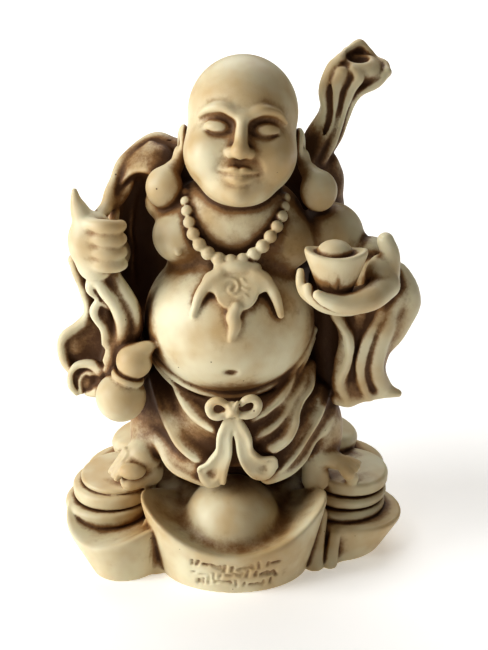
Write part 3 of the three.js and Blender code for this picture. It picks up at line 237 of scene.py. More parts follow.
def ingot(centre, yaw, length, depth, foot_length, foot_depth, rim, tip, basin, slant=(0, 0)):
    """A boat-shaped gold ingot: flared walls on an oval foot, a rim that rises to both tips, a sunk top.

    A slant is how far the foot stands aside of the rim.
    """
    sunk = 4.0  # how far it goes on below its foot, where the base is cut flat
    rounding = 2.4  # of the rim
    step = 0.1  # aside, to find how steep the top is

    def top_at(x, y):
        along = np.minimum(np.abs(x) / (length / 2), 1.1)
        edge = np.minimum(np.hypot(x / (length / 2), y / (depth / 2)), 1)
        return rim + (tip - rim) * along**2 - basin * (1 - edge**2)

    def distance(x, y, z):
        a = foot_length / 2 + (length - foot_length) / 2 * (np.maximum(z, -sunk) / tip)
        b = foot_depth / 2 + (depth - foot_depth) / 2 * np.minimum(z / rim, 1)
        u = x - slant[0] * (1 - z / tip)
        v = y - slant[1] * (1 - z / tip)
        far = np.hypot(u / a, v / b)
        slope = np.hypot(u / a**2, v / b**2)
        wall = far * (far - 1) / np.maximum(slope, 1e-6)
        top = top_at(x, y)
        steep = np.hypot(top_at(x + step, y) - top, top_at(x, y + step) - top) / step
        return np.maximum(smooth_max(wall, (z - top) / np.hypot(1, steep), rounding), -z - sunk)

    reach = math.hypot(length / 2 + abs(slant[0]), depth / 2 + abs(slant[1]), tip)
    return placed(centre, (0, 0, yaw), reach, distance)


class Clay:
    """A block of lattice nodes that holds the clay. Forms are given in the frame's coordinates."""

    def __init__(self, within, low, high, cloth=False):
        self.frame = within
        self.inverse = np.array(within.inverted())
        self.scale = within.median_scale
        self.cloth = cloth
        self.joined = []
        self.first, self.last = self.span(low, high, 0)
        self.values = np.full(self.last - self.first + 1, FAR, np.float32)

    def span(self, low, high, reach):
        """The first and last lattice nodes of a box in the frame, grown by a reach."""
        ends = (low, high)
        corners = np.array([self.frame @ Vector([ends[c[n]][n] for n in range(3)]) for c in CORNERS])
        first = np.floor((corners.min(0) - reach) / CELL).astype(int)
        last = np.ceil((corners.max(0) + reach) / CELL).astype(int)
        return first, last

    def part(self, first, last):
        """The slices of this block's nodes from first to last."""
        return tuple(slice(a - s, b - s + 1) for a, b, s in zip(first, last, self.first))

    def meet(self, form, blend, rule):
        """Puts a form on the clay by a rule: its own pieces are first joined plainly."""
        reach = blend + 2 * CELL
        spans = [self.span(piece.low, piece.high, reach) for piece in form]
        first = np.maximum(np.min([s[0] for s in spans], axis=0), self.first)
        last = np.minimum(np.max([s[1] for s in spans], axis=0), self.last)
        if np.any(last < first):
            return
        near = np.full(last - first + 1, FAR, np.float32)
        m = self.inverse
        for piece, (low, high) in zip(form, spans):
            low, high = np.maximum(low, first), np.minimum(high, last)
            if np.any(high < low):
                continue
            x, y, z = np.ogrid[tuple(slice(a, b + 1) for a, b in zip(low, high))]
            x, y, z = x * CELL, y * CELL, z * CELL
            local = (m[i, 0] * x + m[i, 1] * y + m[i, 2] * z + m[i, 3] for i in range(3))
            here = tuple(slice(a - s, b - s + 1) for a, b, s in zip(low, high, first))
            away = self.scale * piece.distance(*local)
            near[here] = np.minimum(near[here], away)
        where = self.part(first, last)
        self.values[where] = np.where(near < FAR, rule(self.values[where], near, blend), self.values[where])

    def add(self, form, blend=0):
        self.meet(form, blend * self.scale, smooth_min)

    def cut(self, form, blend=0):
        self.meet(form, blend * self.scale, lambda here, away, b: smooth_max(here, -away, b))

    # a lump and a dent are ellipsoids, a roll and a groove are strands
    def lump(self, centre, radii, blend=0, turn=(0, 0, 0)):
        self.add(ellipsoid(centre, radii, turn), blend)

    def dent(self, centre, radii, blend=0, turn=(0, 0, 0)):
        self.cut(ellipsoid(centre, radii, turn), blend)

    def roll(self, points, blend=0, flat=1):
        self.add(strand(points, flat), blend)

    def groove(self, points, blend=0):
        self.cut(strand(points), blend)

    def ripple(self, depth, spacing):
        """Makes the surface uneven by a depth, with waves that run in all directions."""
        x, y, z = np.ogrid[tuple(slice(a, b + 1) for a, b in zip(self.first, self.last))]
        x, y, z = (np.float32(CELL / spacing) * v.astype(np.float32) for v in (x, y, z))
        for n in range(WAVES):
            rise, turn, finer, start = 0.25 * n - 0.85, 2.4 * n, 1 + 0.2 * n, 1.9 * n
            level = math.sqrt(1 - rise**2)
            a, b, c = (finer * v for v in (level * math.cos(turn), level * math.sin(turn), rise))
            self.values += np.float32(depth / 3) * np.sin(a * x + b * y + (c * z + start))

    def join(self, other, blend=0):
        """Joins another block of clay to this one."""
        self.joined.append(other)
        first = np.maximum(self.first, other.first)
        last = np.minimum(self.last, other.last)
        where = self.part(first, last)
        near = other.values[other.part(first, last)]
        here = self.values[where]
        self.values[where] = np.where(near < FAR, smooth_min(here, near, blend), here)


def strands(clay, many, blend, flat=1):
    """Adds several strands, one after the other."""
    for points in many:
        clay.roll(points, blend, flat)


def grooves(clay, many, blend):
    """Cuts several strands out, one after the other."""
    for points in many:
        clay.groove(points, blend)


def folds(clay, many, width, middle=(0, -6)):
    """Folds of cloth along points (x, y, z), each a broad swell with a thin crest.

    The crest follows the points, and sinks in towards the middle at both ends. The swell lies behind it.
    """
    for points in many:
        swell, crest = [], []
        for n, (x, y, z) in enumerate(points):
            inward = Vector((middle[0] - x, middle[1] - y)).normalized()
            swell.append([x + inward.x * width * 1.25, y + inward.y * width * 1.25, z, width * 1.15])
            sunk = 0.8 if n in (0, len(points) - 1) else 0
            crest.append([x + inward.x * sunk, y + inward.y * sunk, z, 0.55 - 0.3 * sunk])
        clay.roll(swell, 3)
        clay.roll(crest, 1.6)


# The base


def side_ingot(clay, at, yaw, rim, tip, slant, pile, tilt, lean, coins):
    """An ingot with a pile of coins. Its rim and tip are shares of the heights that are named above."""
    clay.add(ingot(
        at, yaw, SIDE_INGOT_LENGTH, SIDE_INGOT_DEPTH, SIDE_INGOT_FOOT_LENGTH, SIDE_INGOT_FOOT_DEPTH,
        SIDE_INGOT_RIM_HEIGHT * rim, SIDE_INGOT_TIP_HEIGHT * tip, SIDE_INGOT_BASIN, slant,
    ), 0.5)
    top = PILE_HEIGHT
    for n, share in enumerate(coins):
        thickness = COIN_THICKNESS * share
        centre = [at[0] + pile[0] + lean[0] * n, at[1] + pile[1] + lean[1] * n, top - thickness / 2]
        edge = min(1.3, thickness * 0.4)
        clay.add(disc(centre, COIN_RADIUS + COIN_RADIUS_STEP * n, thickness * 0.9, edge, tilt), 0.5)
        top -= thickness


def base():
    """A big ingot in front, and a smaller one on each side that holds a pile of coins."""
    half = INGOT_LENGTH / 2
    clay = Clay(Matrix(), [-half - 32, -INGOT_DEPTH - 16, -5], [half + 32, 34, 42])
    clay.roll([[-half - 3, -10, 0, 13], [0, -8, 4, 17], [half + 3, -10, 0, 13]])
    clay.lump([0, 6, 6], [half + 7, 15, 15], 4)
    side_ingot(
        clay, [-half - SIDE_INGOT_LENGTH * 0.21, -INGOT_DEPTH * 0.59, 0], yaw=-30, rim=1.15, tip=1.15,
        slant=[6, 0.6], pile=[1.3, 12], tilt=[3, -3, 0], lean=[-1.7, -0.6], coins=LEFT_COINS,
    )
    side_ingot(
        clay, [half + SIDE_INGOT_LENGTH * 0.16, -INGOT_DEPTH * 0.3, 0], yaw=-34, rim=1.2, tip=0.75,
        slant=[1.4, -2.6], pile=[1, 3.6], tilt=[3, 2, 0], lean=[-1.2, -1.2], coins=RIGHT_COINS,
    )
    # pleats wedged between the ingots
    strands(clay, [
        [[-half + 3.4, -26, 12.4, 2], [-half + 1.2, -31, 6, 2.3], [-half - 0.8, -34.4, -2, 2.8]],
        [[-half + 7.5, -26, 10, 3.4], [-half + 6, -29.6, 4, 4], [-half + 4.6, -31, -2, 4.6]],
        [[half - 2.6, -25, 15, 2.2], [half - 3.8, -28.6, 7, 2.5], [half - 4.6, -31.4, -2, 2.8]],
        [[half + 1.8, -27.4, 9.4, 1.6], [half + 0.8, -29, 4, 2], [half, -30.6, -2, 2.2]],
    ], 0.5)
    clay.lump([half - 1.5, -22, 0], [8, 8, 9], 1)
    clay.add(ingot(
        [0, INGOT_MIDDLE, 0], 0, INGOT_LENGTH, INGOT_DEPTH, INGOT_FOOT_LENGTH, INGOT_FOOT_DEPTH,
        INGOT_RIM_HEIGHT, INGOT_TIP_HEIGHT, INGOT_BASIN,
    ), 0.5)
    dome = [EGG_RADIUS, EGG_RADIUS * 1.05, EGG_HEIGHT]
    clay.lump([-0.5, INGOT_MIDDLE + 3, INGOT_RIM_HEIGHT - 2], dome, 4)
    # coins that lean on each other behind
    for way, lift in ((-1, 1.5), (1, 3.5)):
        beside = half + 7.5 + lift / 4
        clay.add(disc([way * beside, 4, 14.5 + lift], COIN_RADIUS - 1.5, 7, 2.4, [0, way * 12, 0]), 0.5)
        clay.add(disc([way * half, 8, 22 + lift], COIN_RADIUS - 1.5, 8, 2.4, [0, way * 16, 0]), 0.5)
        clay.add(disc([way * half * 0.45, 15, 13], COIN_RADIUS - 0.5, 7, 2.4, [-14, 0, 0]), 0.5)
    inscription(clay)
    return clay


def inscription(clay):
    """Rows of short strokes across the front of the big ingot; they aren't letters.

    The sines only make the strokes uneven in place, turn, length and width.
    """
    for n in range(STROKES):
        x = -12 + 0.66 * n + 0.5 * math.sin(3.7 * n)
        z = 9.7 - 3 * (n % STROKE_ROWS) + 0.6 * math.sin(2.3 * n + 1)
        turn = (1.5, 0.1, 1.7, 1.3, 3)[n % 5] + 0.25 * math.sin(1.9 * n)
        half = 0.75 + 0.3 * math.sin(5.1 * n)
        dx, dz = half * math.cos(turn), half * math.sin(turn)
        radius = 0.62 + 0.14 * math.sin(4.3 * n)
        clay.groove([on_ingot(x + way * dx, z + way * dz) + [radius] for way in (-1, 0, 1)], 0.2)


def on_ingot(x, z):
    """The point on the big ingot's front wall at a distance aside and a height."""
    share = z / INGOT_TIP_HEIGHT
    a = INGOT_FOOT_LENGTH / 2 + (INGOT_LENGTH - INGOT_FOOT_LENGTH) / 2 * share
    b = INGOT_FOOT_DEPTH / 2 + (INGOT_DEPTH - INGOT_FOOT_DEPTH) / 2 * z / INGOT_RIM_HEIGHT
    return [x, INGOT_MIDDLE - b * math.sqrt(1 - (x / a) ** 2), z]


# The figure


def sack():
    """The sack on the back. Its cloth is held out at the figure's right."""
    clay = Clay(FIGURE, [-54, -34, 18], [56, 36, 156], cloth=True)
    clay.lump([0, 2, 46], [27, 17, 32])
    clay.lump([-1, 10, 95], [34, 16, 27], 4)
    clay.lump([25, 8, 108], [7.6, 8, 12], 3)
    clay.lump([-23, -1, 97], [15.5, 14, 25], 4)
    clay.lump([-28, -4, 68], [8, 10, 20], 4)
    clay.dent([-26, -13.5, 96], [10.5, 13, 21.5], 1.2)
    # the rolled edge, from behind the ear down into the fist
    strands(clay, [
        [[-12, -2, 121, 2.4], [-17.5, 2, 121.6, 2.6], [-22.6, 4, 122, 2.6], [-27, 2.4, 120.6, 2.4],
         [-31.4, -1.6, 116.6, 2.2], [-34.6, -7, 111.6, 2], [-36, -13, 108.4, 2], [-37, -19, 107, 2],
         [-37.6, -23, 106, 2]],
        [[-24, 0, 121.4, 1.5], [-26.8, -2.6, 118.6, 1.8], [-28.4, -4.6, 115.4, 1.3]],
        [[-35.4, -12, 108, 1.5], [-32.6, -9, 108.6, 1.6], [-29.4, -7, 112, 1.4], [-27.4, -5, 115.6, 1.3]],
    ], 1)
    strands(clay, [
        [[-22, -1, 116, 1.2], [-24, 0.4, 108, 1.5], [-23.4, 1.5, 98, 1.8], [-24, 0, 86, 1.6],
         [-26, -4, 78, 1.4]],
        [[-28.6, -3, 110, 1.2], [-30.4, -2.4, 102, 1.5], [-30.8, -2.4, 92, 1.7], [-31, -5, 82, 1.8],
         [-32.4, -8, 75, 1.4]],
        [[-34, -10, 105, 1.2], [-35, -9, 97, 1.4], [-34.6, -9, 89, 1.6], [-34, -11, 80, 1.6]],
    ], 1.4)
    back_folds(clay)
    clay.ripple(0.45, 3.2)
    return clay


def back_folds(clay):
    """Plain folds on the back: over the sack from its neck, and down the robe below it."""
    strands(clay, [
        [[22, 12, 112, 1.6], [14, 20.6, 108, 1.9], [0, 24.6, 101, 1.7], [-12, 24.2, 92, 1.1]],
        [[26, 12, 108, 1.6], [18, 20.8, 98, 1.9], [8, 24.4, 86, 1.6], [-2, 24.2, 78, 1]],
        [[30, 11, 104, 1.5], [27, 16, 94, 1.7], [21, 20, 82, 1.2]],
        [[20, 9, 117, 1.6], [6, 18.4, 115, 1.7], [-10, 20.6, 109, 1.4], [-24, 16, 99, 1]],
    ], 1.6)
    for n in range(-3, 4):
        bend = 1.6 * math.sin(2.1 * n)
        low = 29 + 2.4 * (abs(n) % 2)
        points = []
        for step in range(4):
            z = 66 + (low - 66) * step / 3
            x = (5.4 + 0.9 * step) * n + bend * step * 0.6
            y = 1 + 17 * math.sqrt(1 - (x / 30) ** 2) * (1 - ((z - 46) / 42) ** 2)
            points.append([x, y, z, 1.2 + 0.5 * step])
        clay.roll(points, 2.4)


def sack_neck():
    """The tied neck of the sack, which stands up over the figure's left shoulder."""
    clay = Clay(FIGURE, [12, -12, 96], [56, 28, 156], cloth=True)
    clay.roll([[21, 5, 112, 6], [23.4, 5, 119, 5], [27.4, 6, 127, 4], [29.4, 7, 133.5, 3.5],
        [31, 7.6, 139, 4.8]])
    clay.lump([35.4, 9, 142], [8.2, 5.8, 4.4], 2, [0, 4, 0])
    strands(clay, [
        [[18.6, 3, 117, 1.6], [23, 3.4, 123.4, 1.5], [26.4, 4.4, 131, 1.4], [26.2, 5, 137, 1.8],
         [28, 5.6, 142.6, 1.9], [30.6, 6, 145.4, 1.6]],
        [[22.4, 0.6, 117, 1.6], [26.6, 2.2, 125, 1.4], [28.8, 3.6, 132, 1.3], [29.2, 3.6, 137.6, 1.8],
         [30.8, 4, 142, 2.2]],
        [[25.6, 1.6, 117, 1.6], [29.6, 2.8, 125, 1.4], [31.8, 4, 132, 1.2], [33.4, 3.8, 137, 1.6],
         [35.6, 3.6, 140.6, 1.8], [34, 4, 143, 1.4]],
        [[25.4, 6, 115, 1.8], [30.6, 6, 124, 1.6], [33.4, 6, 131.6, 1.4], [36, 5.6, 136, 1.5],
         [41, 5.6, 139, 1.7], [44, 7, 141.6, 1.5]],
        [[24.6, 10, 117, 2], [29, 10.5, 127, 1.6], [31.6, 11.4, 136, 1.8], [35, 13.4, 143, 1.8],
         [36.4, 13, 148.4, 1.6]],
        [[20, 8, 116, 2], [25.4, 8.6, 127, 1.5], [27.6, 9.4, 135, 1.7], [30, 11, 142, 1.8],
         [32.6, 10.6, 146.6, 1.4]],
    ], 0.7)
    clay.roll([[44, 7, 141.6, 1.5], [43.6, 10, 143, 1.5], [41, 12, 144, 1.3], [38.6, 12.6, 146.6, 1.4],
        [36.4, 13, 148.6, 1.5], [33.4, 10.6, 147, 1.4], [30.8, 7, 145.6, 1.5]], 0.6)
    clay.dent([35.8, 7.8, 146.4], [3.4, 2.6, 2.8], 1.2, [0, 12, 0])
    grooves(clay, [
        [[26, 1.6, 123.6, 0.3], [27.6, 2.4, 130, 0.9], [27.4, 2.6, 136, 0.9], [28.2, 3.4, 139, 0.4]],
        [[29, 1.2, 124, 0.3], [30.6, 2.2, 131, 1], [31.4, 2.2, 136.6, 0.8], [33, 2.6, 140, 0.4]],
        [[34.6, 2, 134.6, 0.4], [37.6, 3, 138.2, 0.9], [42, 4.4, 140.6, 0.4]],
    ], 0.6)
    clay.ripple(0.15, 2.2)
    return clay


def torso():
    """The belly, the chest and the left shoulder, bare."""
    clay = Clay(FIGURE, [-34, -44, 44], [46, 14, 124])
    clay.lump([-1.2, -13, 74], [24.8, 25, 22])
    clay.lump([0, -9, 98], [21, 14, 15], 4)
    clay.lump([0.5, -11.6, 104.5], [19, 13, 12.5], 4)
    clay.lump([-15, -15.6, 99.8], [8, 8.4, 8], 2.4)
    clay.lump([14.6, -15.4, 98], [8.6, 8, 8], 3.4)
    clay.lump([-19, -7, 107], [6.4, 7, 5.6], 3)
    clay.lump([28, -8.6, 98], [9.6, 9, 9.2], 2.4, [0, 20, 0])
    clay.add(ball([-15.4, -23.8, 97.6], 1.1), 0.8)
    clay.add(ball([14.8, -22.6, 97], 1.2), 0.8)
    clay.dent([-0.6, -37.6, 66.6], [2.5, 2.6, 1.1], 0.9, [-20, 0, 0])
    return clay


def waistband(clay):
    """Two rolled edges of cloth under the belly, where the skirt is gathered."""
    for drop, radius in ((0, 1.2), (2.6, 0.8)):
        points = []
        for n in range(9):
            around = math.radians(12 + 19.5 * n)
            x = -1.2 + 25 * math.cos(around)
            y = -12.6 - 15.5 * math.sin(around)
            points.append([x, y, 75 - drop - 19.4 * math.sin(around), radius])
        clay.roll(points, 0.6)


def skirt():
    """The skirt, in folds from the hips to the feet."""
    clay = Clay(FIGURE, [-46, -46, 20], [46, 14, 72], cloth=True)
    clay.lump([0, -8, 45], [26.5, 24, 18])
    clay.lump([0, -8.5, 37.5], [24.5, 22.4, 9], 3)
    clay.lump([0, -6, 22], [18, 11, 12], 1)
    clay.roll([[-18, -10, 47, 10], [-23, -13, 40, 8], [-25, -14.6, 34, 6]], 3)
    clay.roll([[18, -8, 47, 10], [23.5, -11, 40, 9], [25.6, -12, 33, 7]], 3)
    # swags that hang from the hips towards the middle
    folds(clay, [
        [[-25, -15, 56], [-22.4, -20.4, 51.4], [-20.8, -23.6, 47.8], [-18.6, -27.4, 43.9],
         [-16.2, -30, 40.6], [-12.7, -32.2, 38.1], [-8.9, -33.4, 36.2]],
        [[-20, -18, 61], [-17.1, -24, 56.8], [-15, -27.5, 53.6], [-12.6, -30, 51], [-9.7, -31.8, 49],
         [-6.2, -33.2, 47.4], [-4.2, -33.8, 46.3]],
        [[-29.6, -13, 41.4], [-27.2, -17, 39.6], [-24.1, -21, 38], [-21.7, -24.2, 36.1],
         [-19.8, -27.2, 33.3], [-17.1, -29.4, 31.5], [-13.3, -31.2, 30.5], [-9.8, -32.2, 29.6]],
        [[24, -18, 60], [22.9, -22, 56], [20.2, -25.8, 52.8], [18.4, -28.6, 50.1], [18, -30.6, 46.9],
         [15.7, -32.6, 43.1], [11.9, -33.8, 40.7]],
        [[30, -15, 44.6], [27.2, -19, 40.9], [23.9, -22, 38], [20.9, -25.6, 33.6], [16.4, -28.8, 30.7],
         [11.1, -31, 29.9]],
        [[21, -20.4, 60], [19.3, -24, 56.8], [16.3, -27.6, 53.6], [14.3, -30, 50], [11, -32, 47],
         [6.4, -33.4, 44.6]],
    ], 2)
    folds(clay, [
        [[28.4, -17, 51], [25.4, -22.4, 46.4], [21.8, -26, 41.6], [18.6, -28.6, 37.4], [15, -30.6, 34],
         [12, -31.8, 32.4]],
    ], 3)
    folds(clay, [
        [[17.6, -23.4, 61], [16.4, -25.5, 59], [13.4, -29, 55], [9, -31.8, 52], [5.3, -33, 50.4]],
    ], 1.2)
    clay.roll([[-22, -20, 38, 3], [-15, -26.4, 34.6, 3], [-9, -30, 33.6, 2.4]], 2)
    clay.dent([23.4, -25.4, 50.4], [2.6, 4, 3], 1.4, [0, 0, -30])
    clay.groove([[-1, -34, 44, 1.2], [0.2, -32, 38, 2.4], [0.8, -30, 31, 3.8]], 0.8)
    return clay


def sash(clay):
    """The bow under the belly and the two ends of its sash."""
    strands(clay, [
        [[-1.2, -34.8, 55, 1], [-3.2, -35.6, 57, 1.1], [-5.2, -35.4, 57.2, 1.2], [-6.8, -35, 55.4, 1.3],
         [-6.2, -35.2, 53, 1.3], [-4, -35.6, 52.4, 1.2], [-1.4, -35, 53.8, 1]],
        [[0.4, -34.8, 53.8, 1], [3.2, -35.6, 52.8, 1.2], [6, -35.4, 53.6, 1.3], [7, -35, 56, 1.3],
         [5.6, -35, 57.8, 1.2], [3.4, -35.2, 57.4, 1.1], [2.2, -35, 56, 0.8]],
    ], 0.3)
    clay.lump([-0.4, -35.4, 54.6], [1.9, 1.8, 2.5], 0.4)
    strands(clay, [
        [[-1.8, -36.2, 56.4, 0.6], [-0.6, -37, 55.4, 0.8], [0.8, -36.6, 53.4, 0.7], [1.4, -35.8, 52.2, 0.5]],
        [[1.2, -36, 57, 0.6], [0.4, -37, 55.8, 0.7], [-0.8, -36.8, 53.6, 0.7], [-2, -35.8, 52.4, 0.5]],
    ], 0.3)
    strands(clay, [
        [[-1.2, -34.8, 52, 1.2], [-2.6, -35.4, 46.4, 2.1], [-2.8, -35.2, 41.4, 2.4],
         [-4.6, -34.2, 36.6, 3.2], [-6.4, -32.8, 32.2, 3.8]],
        [[0.6, -34.8, 52, 1.2], [2.8, -35.4, 46.4, 2.2], [3.4, -35.2, 41.4, 2.4], [5.6, -34.4, 37.2, 3.2],
         [8.6, -33.2, 34.8, 3.5]],
    ], 0.5, flat=0.5)
    strands(clay, [
        [[-1.6, -35, 51.6, 0.5], [-3.8, -36, 46.3, 0.6], [-4.4, -36, 41.5, 0.6], [-6.4, -35.4, 37.8, 0.6],
         [-9.9, -34.2, 35.2, 0.6], [-9.4, -33.4, 32.6, 0.6], [-7.4, -33.2, 29.2, 0.7],
         [-4.6, -33.4, 29.6, 0.6]],
        [[-0.8, -35, 51, 0.5], [-1.1, -35.8, 44.8, 0.6], [-1.2, -35.8, 39.9, 0.6], [-2.2, -35, 35.7, 0.7],
         [-2.9, -34, 30.4, 0.7]],
        [[-0.4, -35, 51, 0.5], [1.2, -35.8, 44.7, 0.6], [1.9, -35.8, 39.9, 0.6], [3.6, -35.2, 35.7, 0.7],
         [6.2, -34, 32.2, 0.7], [9.6, -33.2, 32, 0.7], [12, -33.2, 35.2, 0.7]],
        [[1.2, -35, 51.6, 0.5], [4.4, -36.2, 45.7, 0.6], [5, -36, 41.4, 0.6], [7.2, -35.4, 38.9, 0.6],
         [11.4, -34.2, 38.6, 0.6], [12.2, -33.4, 35.6, 0.6]],
    ], 0.9)
    clay.lump([11, -33, 36.6], [1.8, 1.4, 2], 0.5)
    grooves(clay, [
        [[-1.5, -37, 49, 0.4], [-2.7, -37.8, 45.4, 1.1], [-3, -37.8, 41, 1.5], [-5, -37.2, 36.8, 2.1],
         [-6.6, -36, 33, 2.4]],
        [[1, -37, 49, 0.4], [3, -37.8, 45.4, 1.1], [3.6, -37.8, 41, 1.5], [6, -37.2, 37, 2.1],
         [9, -36, 35.2, 2.2]],
    ], 1)


def foot(clay, body, toes):
    """A bare foot: ankle and instep, then the toes."""
    clay.roll(body, 1.6)
    for start, end, radius in toes:
        clay.roll([[*start, radius * 0.9], [*end, radius]], 0.3)


def feet(clay):
    """Both feet, and what they stand on."""
    foot(clay, [[-23, -14, 38, 5.4], [-25.4, -17.4, 34.6, 5.2], [-27.2, -19.8, 32, 5.5]], [
        [[-32.2, -21, 34.6], [-36.6, -22.4, 28], 1],
        [[-31.4, -22.4, 34], [-35.6, -24, 27.6], 1.05],
        [[-30.6, -23.6, 32.6], [-34.6, -25.4, 27.4], 1.1],
    ])
    clay.lump([-30, -25.4, 29.8], [4, 3, 2.6], 0.3)
    foot(clay, [[24.6, -12.6, 38, 5.4], [25, -16, 31.4, 4.4], [29, -17.8, 30, 3], [33, -19, 28.8, 2.4]], [
        [[32.4, -20.4, 28.8], [34.2, -22, 27], 2],
        [[33.6, -19.6, 29.6], [36.2, -21, 28], 1.2],
        [[34, -18.2, 29.8], [37, -19.4, 28.2], 1.15],
        [[34, -17, 29.6], [37.4, -17.8, 28.2], 1.1],
    ])
    clay.roll([[-25.4, -19.6, 26.4, 4.2], [-31, -22.8, 25, 3]], 0.8)
    clay.roll([[24.4, -17, 28, 3.8], [24.6, -17.4, 23, 4.2]], 1)
    clay.roll([[34.6, -19.6, 25.4, 1.8], [35.6, -19, 24, 2]], 1)


def right_arm():
    """The figure's right arm, and the fist that holds the sack's cloth."""
    clay = Clay(FIGURE, [-60, -38, 76], [-18, 12, 120])
    clay.roll([[-36, -8, 92, 6], [-38, -16, 93, 5.4], [-39, -22, 94.6, 4.6]])
    clay.lump([-39.2, -22.6, 100.2], [7, 5.8, 8.8], 1)
    clay.lump([-38.4, -23.4, 93.4], [5, 4.4, 4.6], 2)
    for z in (106.4, 102.6, 98.8, 95.2):
        clay.roll([[-39.6, -26.2, z + 0.2, 1.5], [-36, -28, z, 2.1], [-32.6, -27.6, z - 0.3, 2],
            [-31, -25.4, z - 0.6, 1.7]], 1.2)
    clay.roll([[-43.8, -21.4, 114.6, 0.8], [-43.4, -21.8, 111.8, 1.6], [-42.2, -22.4, 108.4, 2.8],
        [-40.4, -23, 104, 3.6]], 1)
    return clay


def right_sleeve():
    """The sleeve, and cloth that hangs out of the fist like a rope."""
    clay = Clay(FIGURE, [-60, -34, 40], [-18, 12, 100], cloth=True)
    strands(clay, [
        [[-38.4, -23.4, 91.4, 2.8], [-36.6, -24, 87, 2.1], [-33.4, -23.8, 82, 2.1], [-31.6, -23, 76.5, 2.4],
         [-31.8, -22.4, 71, 2.6], [-33.6, -21.8, 66, 2.4], [-35.4, -21.4, 61, 2.6]],
        [[-34.6, -22.4, 92, 2], [-31.4, -22.4, 86.4, 1.9], [-28.6, -22, 80.4, 2], [-27.8, -21.6, 75.6, 2.1],
         [-29.6, -21.4, 70, 2.3], [-32, -21, 65, 2.6]],
        [[-39.6, -23.6, 89.4, 1.7], [-40.2, -23.2, 86.6, 1.7], [-38.6, -22.6, 84, 1.2]],
        [[-35.4, -22.6, 81, 1.1], [-37.8, -22.6, 82.2, 1.3], [-39.4, -22.4, 79.6, 1.5],
         [-38.6, -22.2, 76.6, 1.4], [-36.8, -22.4, 73.8, 1.6], [-36.8, -22.2, 70.6, 1.7],
         [-38.2, -22, 67.8, 1.5], [-37.6, -21.8, 64.6, 1.7]],
    ], 0.9)
    strands(clay, [
        [[-31.6, -18, 83, 1.4], [-31.6, -18, 78, 3], [-33.4, -18, 70, 4], [-35, -18, 62, 4]],
        [[-36, -21.4, 91, 2.8], [-33, -21.8, 85, 2.5], [-30.4, -21.4, 79, 2.5], [-30.8, -21, 73, 2.8]],
        [[-37, -20.6, 80, 1.8], [-36, -20.8, 75, 2.2], [-34.6, -21, 70, 2.8], [-35.6, -21, 65, 3]],
    ], 1.2)
    # the hanging sleeve: a hollow sheet with a rolled edge
    clay.roll([[-42.6, -14, 93, 3.4], [-41, -11, 85, 4], [-39.6, -10, 77.6, 4], [-38.6, -10, 70.4, 6],
        [-41.6, -12, 64.6, 8], [-41, -13, 60, 7.4]], 1, flat=0.45)
    clay.roll([[-34, -8, 70, 6], [-33, -11, 60, 7.4], [-34, -13, 53, 5]], 2)
    clay.lump([-45, -12.8, 64.2], [6.2, 2.8, 5.8], 1)
    clay.dent([-42.4, -19.4, 69], [6, 5, 8.6], 2, [0, -12, 0])
    clay.roll([[-45.6, -16, 92.4, 1.5], [-45, -13.4, 87, 1.4], [-43.4, -12, 81.4, 1.3],
        [-42.4, -12, 76, 1.3], [-44, -12.8, 71.8, 1.3], [-49, -14.4, 69, 1.3], [-50.6, -14.8, 65.4, 1.3],
        [-49.6, -15.6, 61, 1.5], [-46.6, -17.2, 57.6, 1.6]], 2)
    # the curled hem under it
    clay.lump([-42.8, -16.6, 56.4], [5.1, 2.8, 5.2], 1)
    strands(clay, [
        [[-46.2, -18.6, 52, 1], [-47.6, -18.6, 54.6, 1.2], [-47.6, -18.6, 58, 1.1],
         [-45.6, -18.8, 60.8, 1.2], [-41.8, -19.2, 61.4, 1.5], [-38, -20.2, 59.8, 2.2]],
        [[-44.8, -18.6, 52.2, 0.8], [-45, -18.8, 56.2, 0.8], [-43, -19, 58.8, 1], [-40, -19.4, 58.2, 1.6]],
        [[-43, -18.2, 51.8, 1.2], [-40.4, -19.2, 52.6, 1.8], [-38, -19.6, 55, 2.4]],
    ], 0.5)
    clay.dent([-40.6, -20.8, 56.6], [1.5, 1.8, 1.8], 0.8)
    clay.ripple(0.15, 2.6)
    return clay


def gourd(clay):
    """The gourd that hangs from the cloth."""
    clay.add(ball([-32.6, -25.6, 54], 7.3), 0.4)
    clay.add(ball([-28.4, -26, 65.4], 5.2), 0.6)
    clay.add(disc([-30.4, -25.9, 60.4], 4.9, 2, 0.9, [0, 20, 0]), 0.7)
    clay.roll([[-27.2, -26.2, 67.4, 3.6], [-24.4, -26.4, 69.8, 2], [-21.8, -26.4, 70.8, 0.6]], 0.8)


def left_arm():
    """The figure's left arm: a bare shoulder and an open hand."""
    clay = Clay(FIGURE, [14, -50, 76], [60, 12, 112])
    clay.roll([[29, -9, 96.6, 8], [34, -10, 91, 7.8], [38.6, -13, 87.2, 7.2], [41.2, -21, 88, 6]])
    clay.lump([41, -27.6, 91], [4.6, 6.4, 7], 1.4)
    clay.roll([[43, -27.4, 93, 3.4], [43.4, -27.6, 98, 2.7], [42, -27.2, 102, 2.4]], 1.2)
    strands(clay, [
        [[42.4, -31, 90.4, 3.8], [37.4, -36.6, 88.6, 3.5], [30.6, -39.4, 88, 2.8], [25.4, -40.4, 89.6, 2],
         [23, -40.4, 91, 1.5]],
        [[39.6, -31, 88, 3.6], [32, -35, 86, 3], [25, -37, 87, 2.3], [21, -37.4, 90, 1.7],
         [20.4, -37, 92, 1.3]],
        [[36, -30, 87, 3], [26, -33, 86, 2.4], [20.4, -34.6, 89, 1.8], [18.6, -34.6, 92.4, 1.5],
         [18.4, -34, 95.4, 1.1]],
    ], 0.6)
    return clay


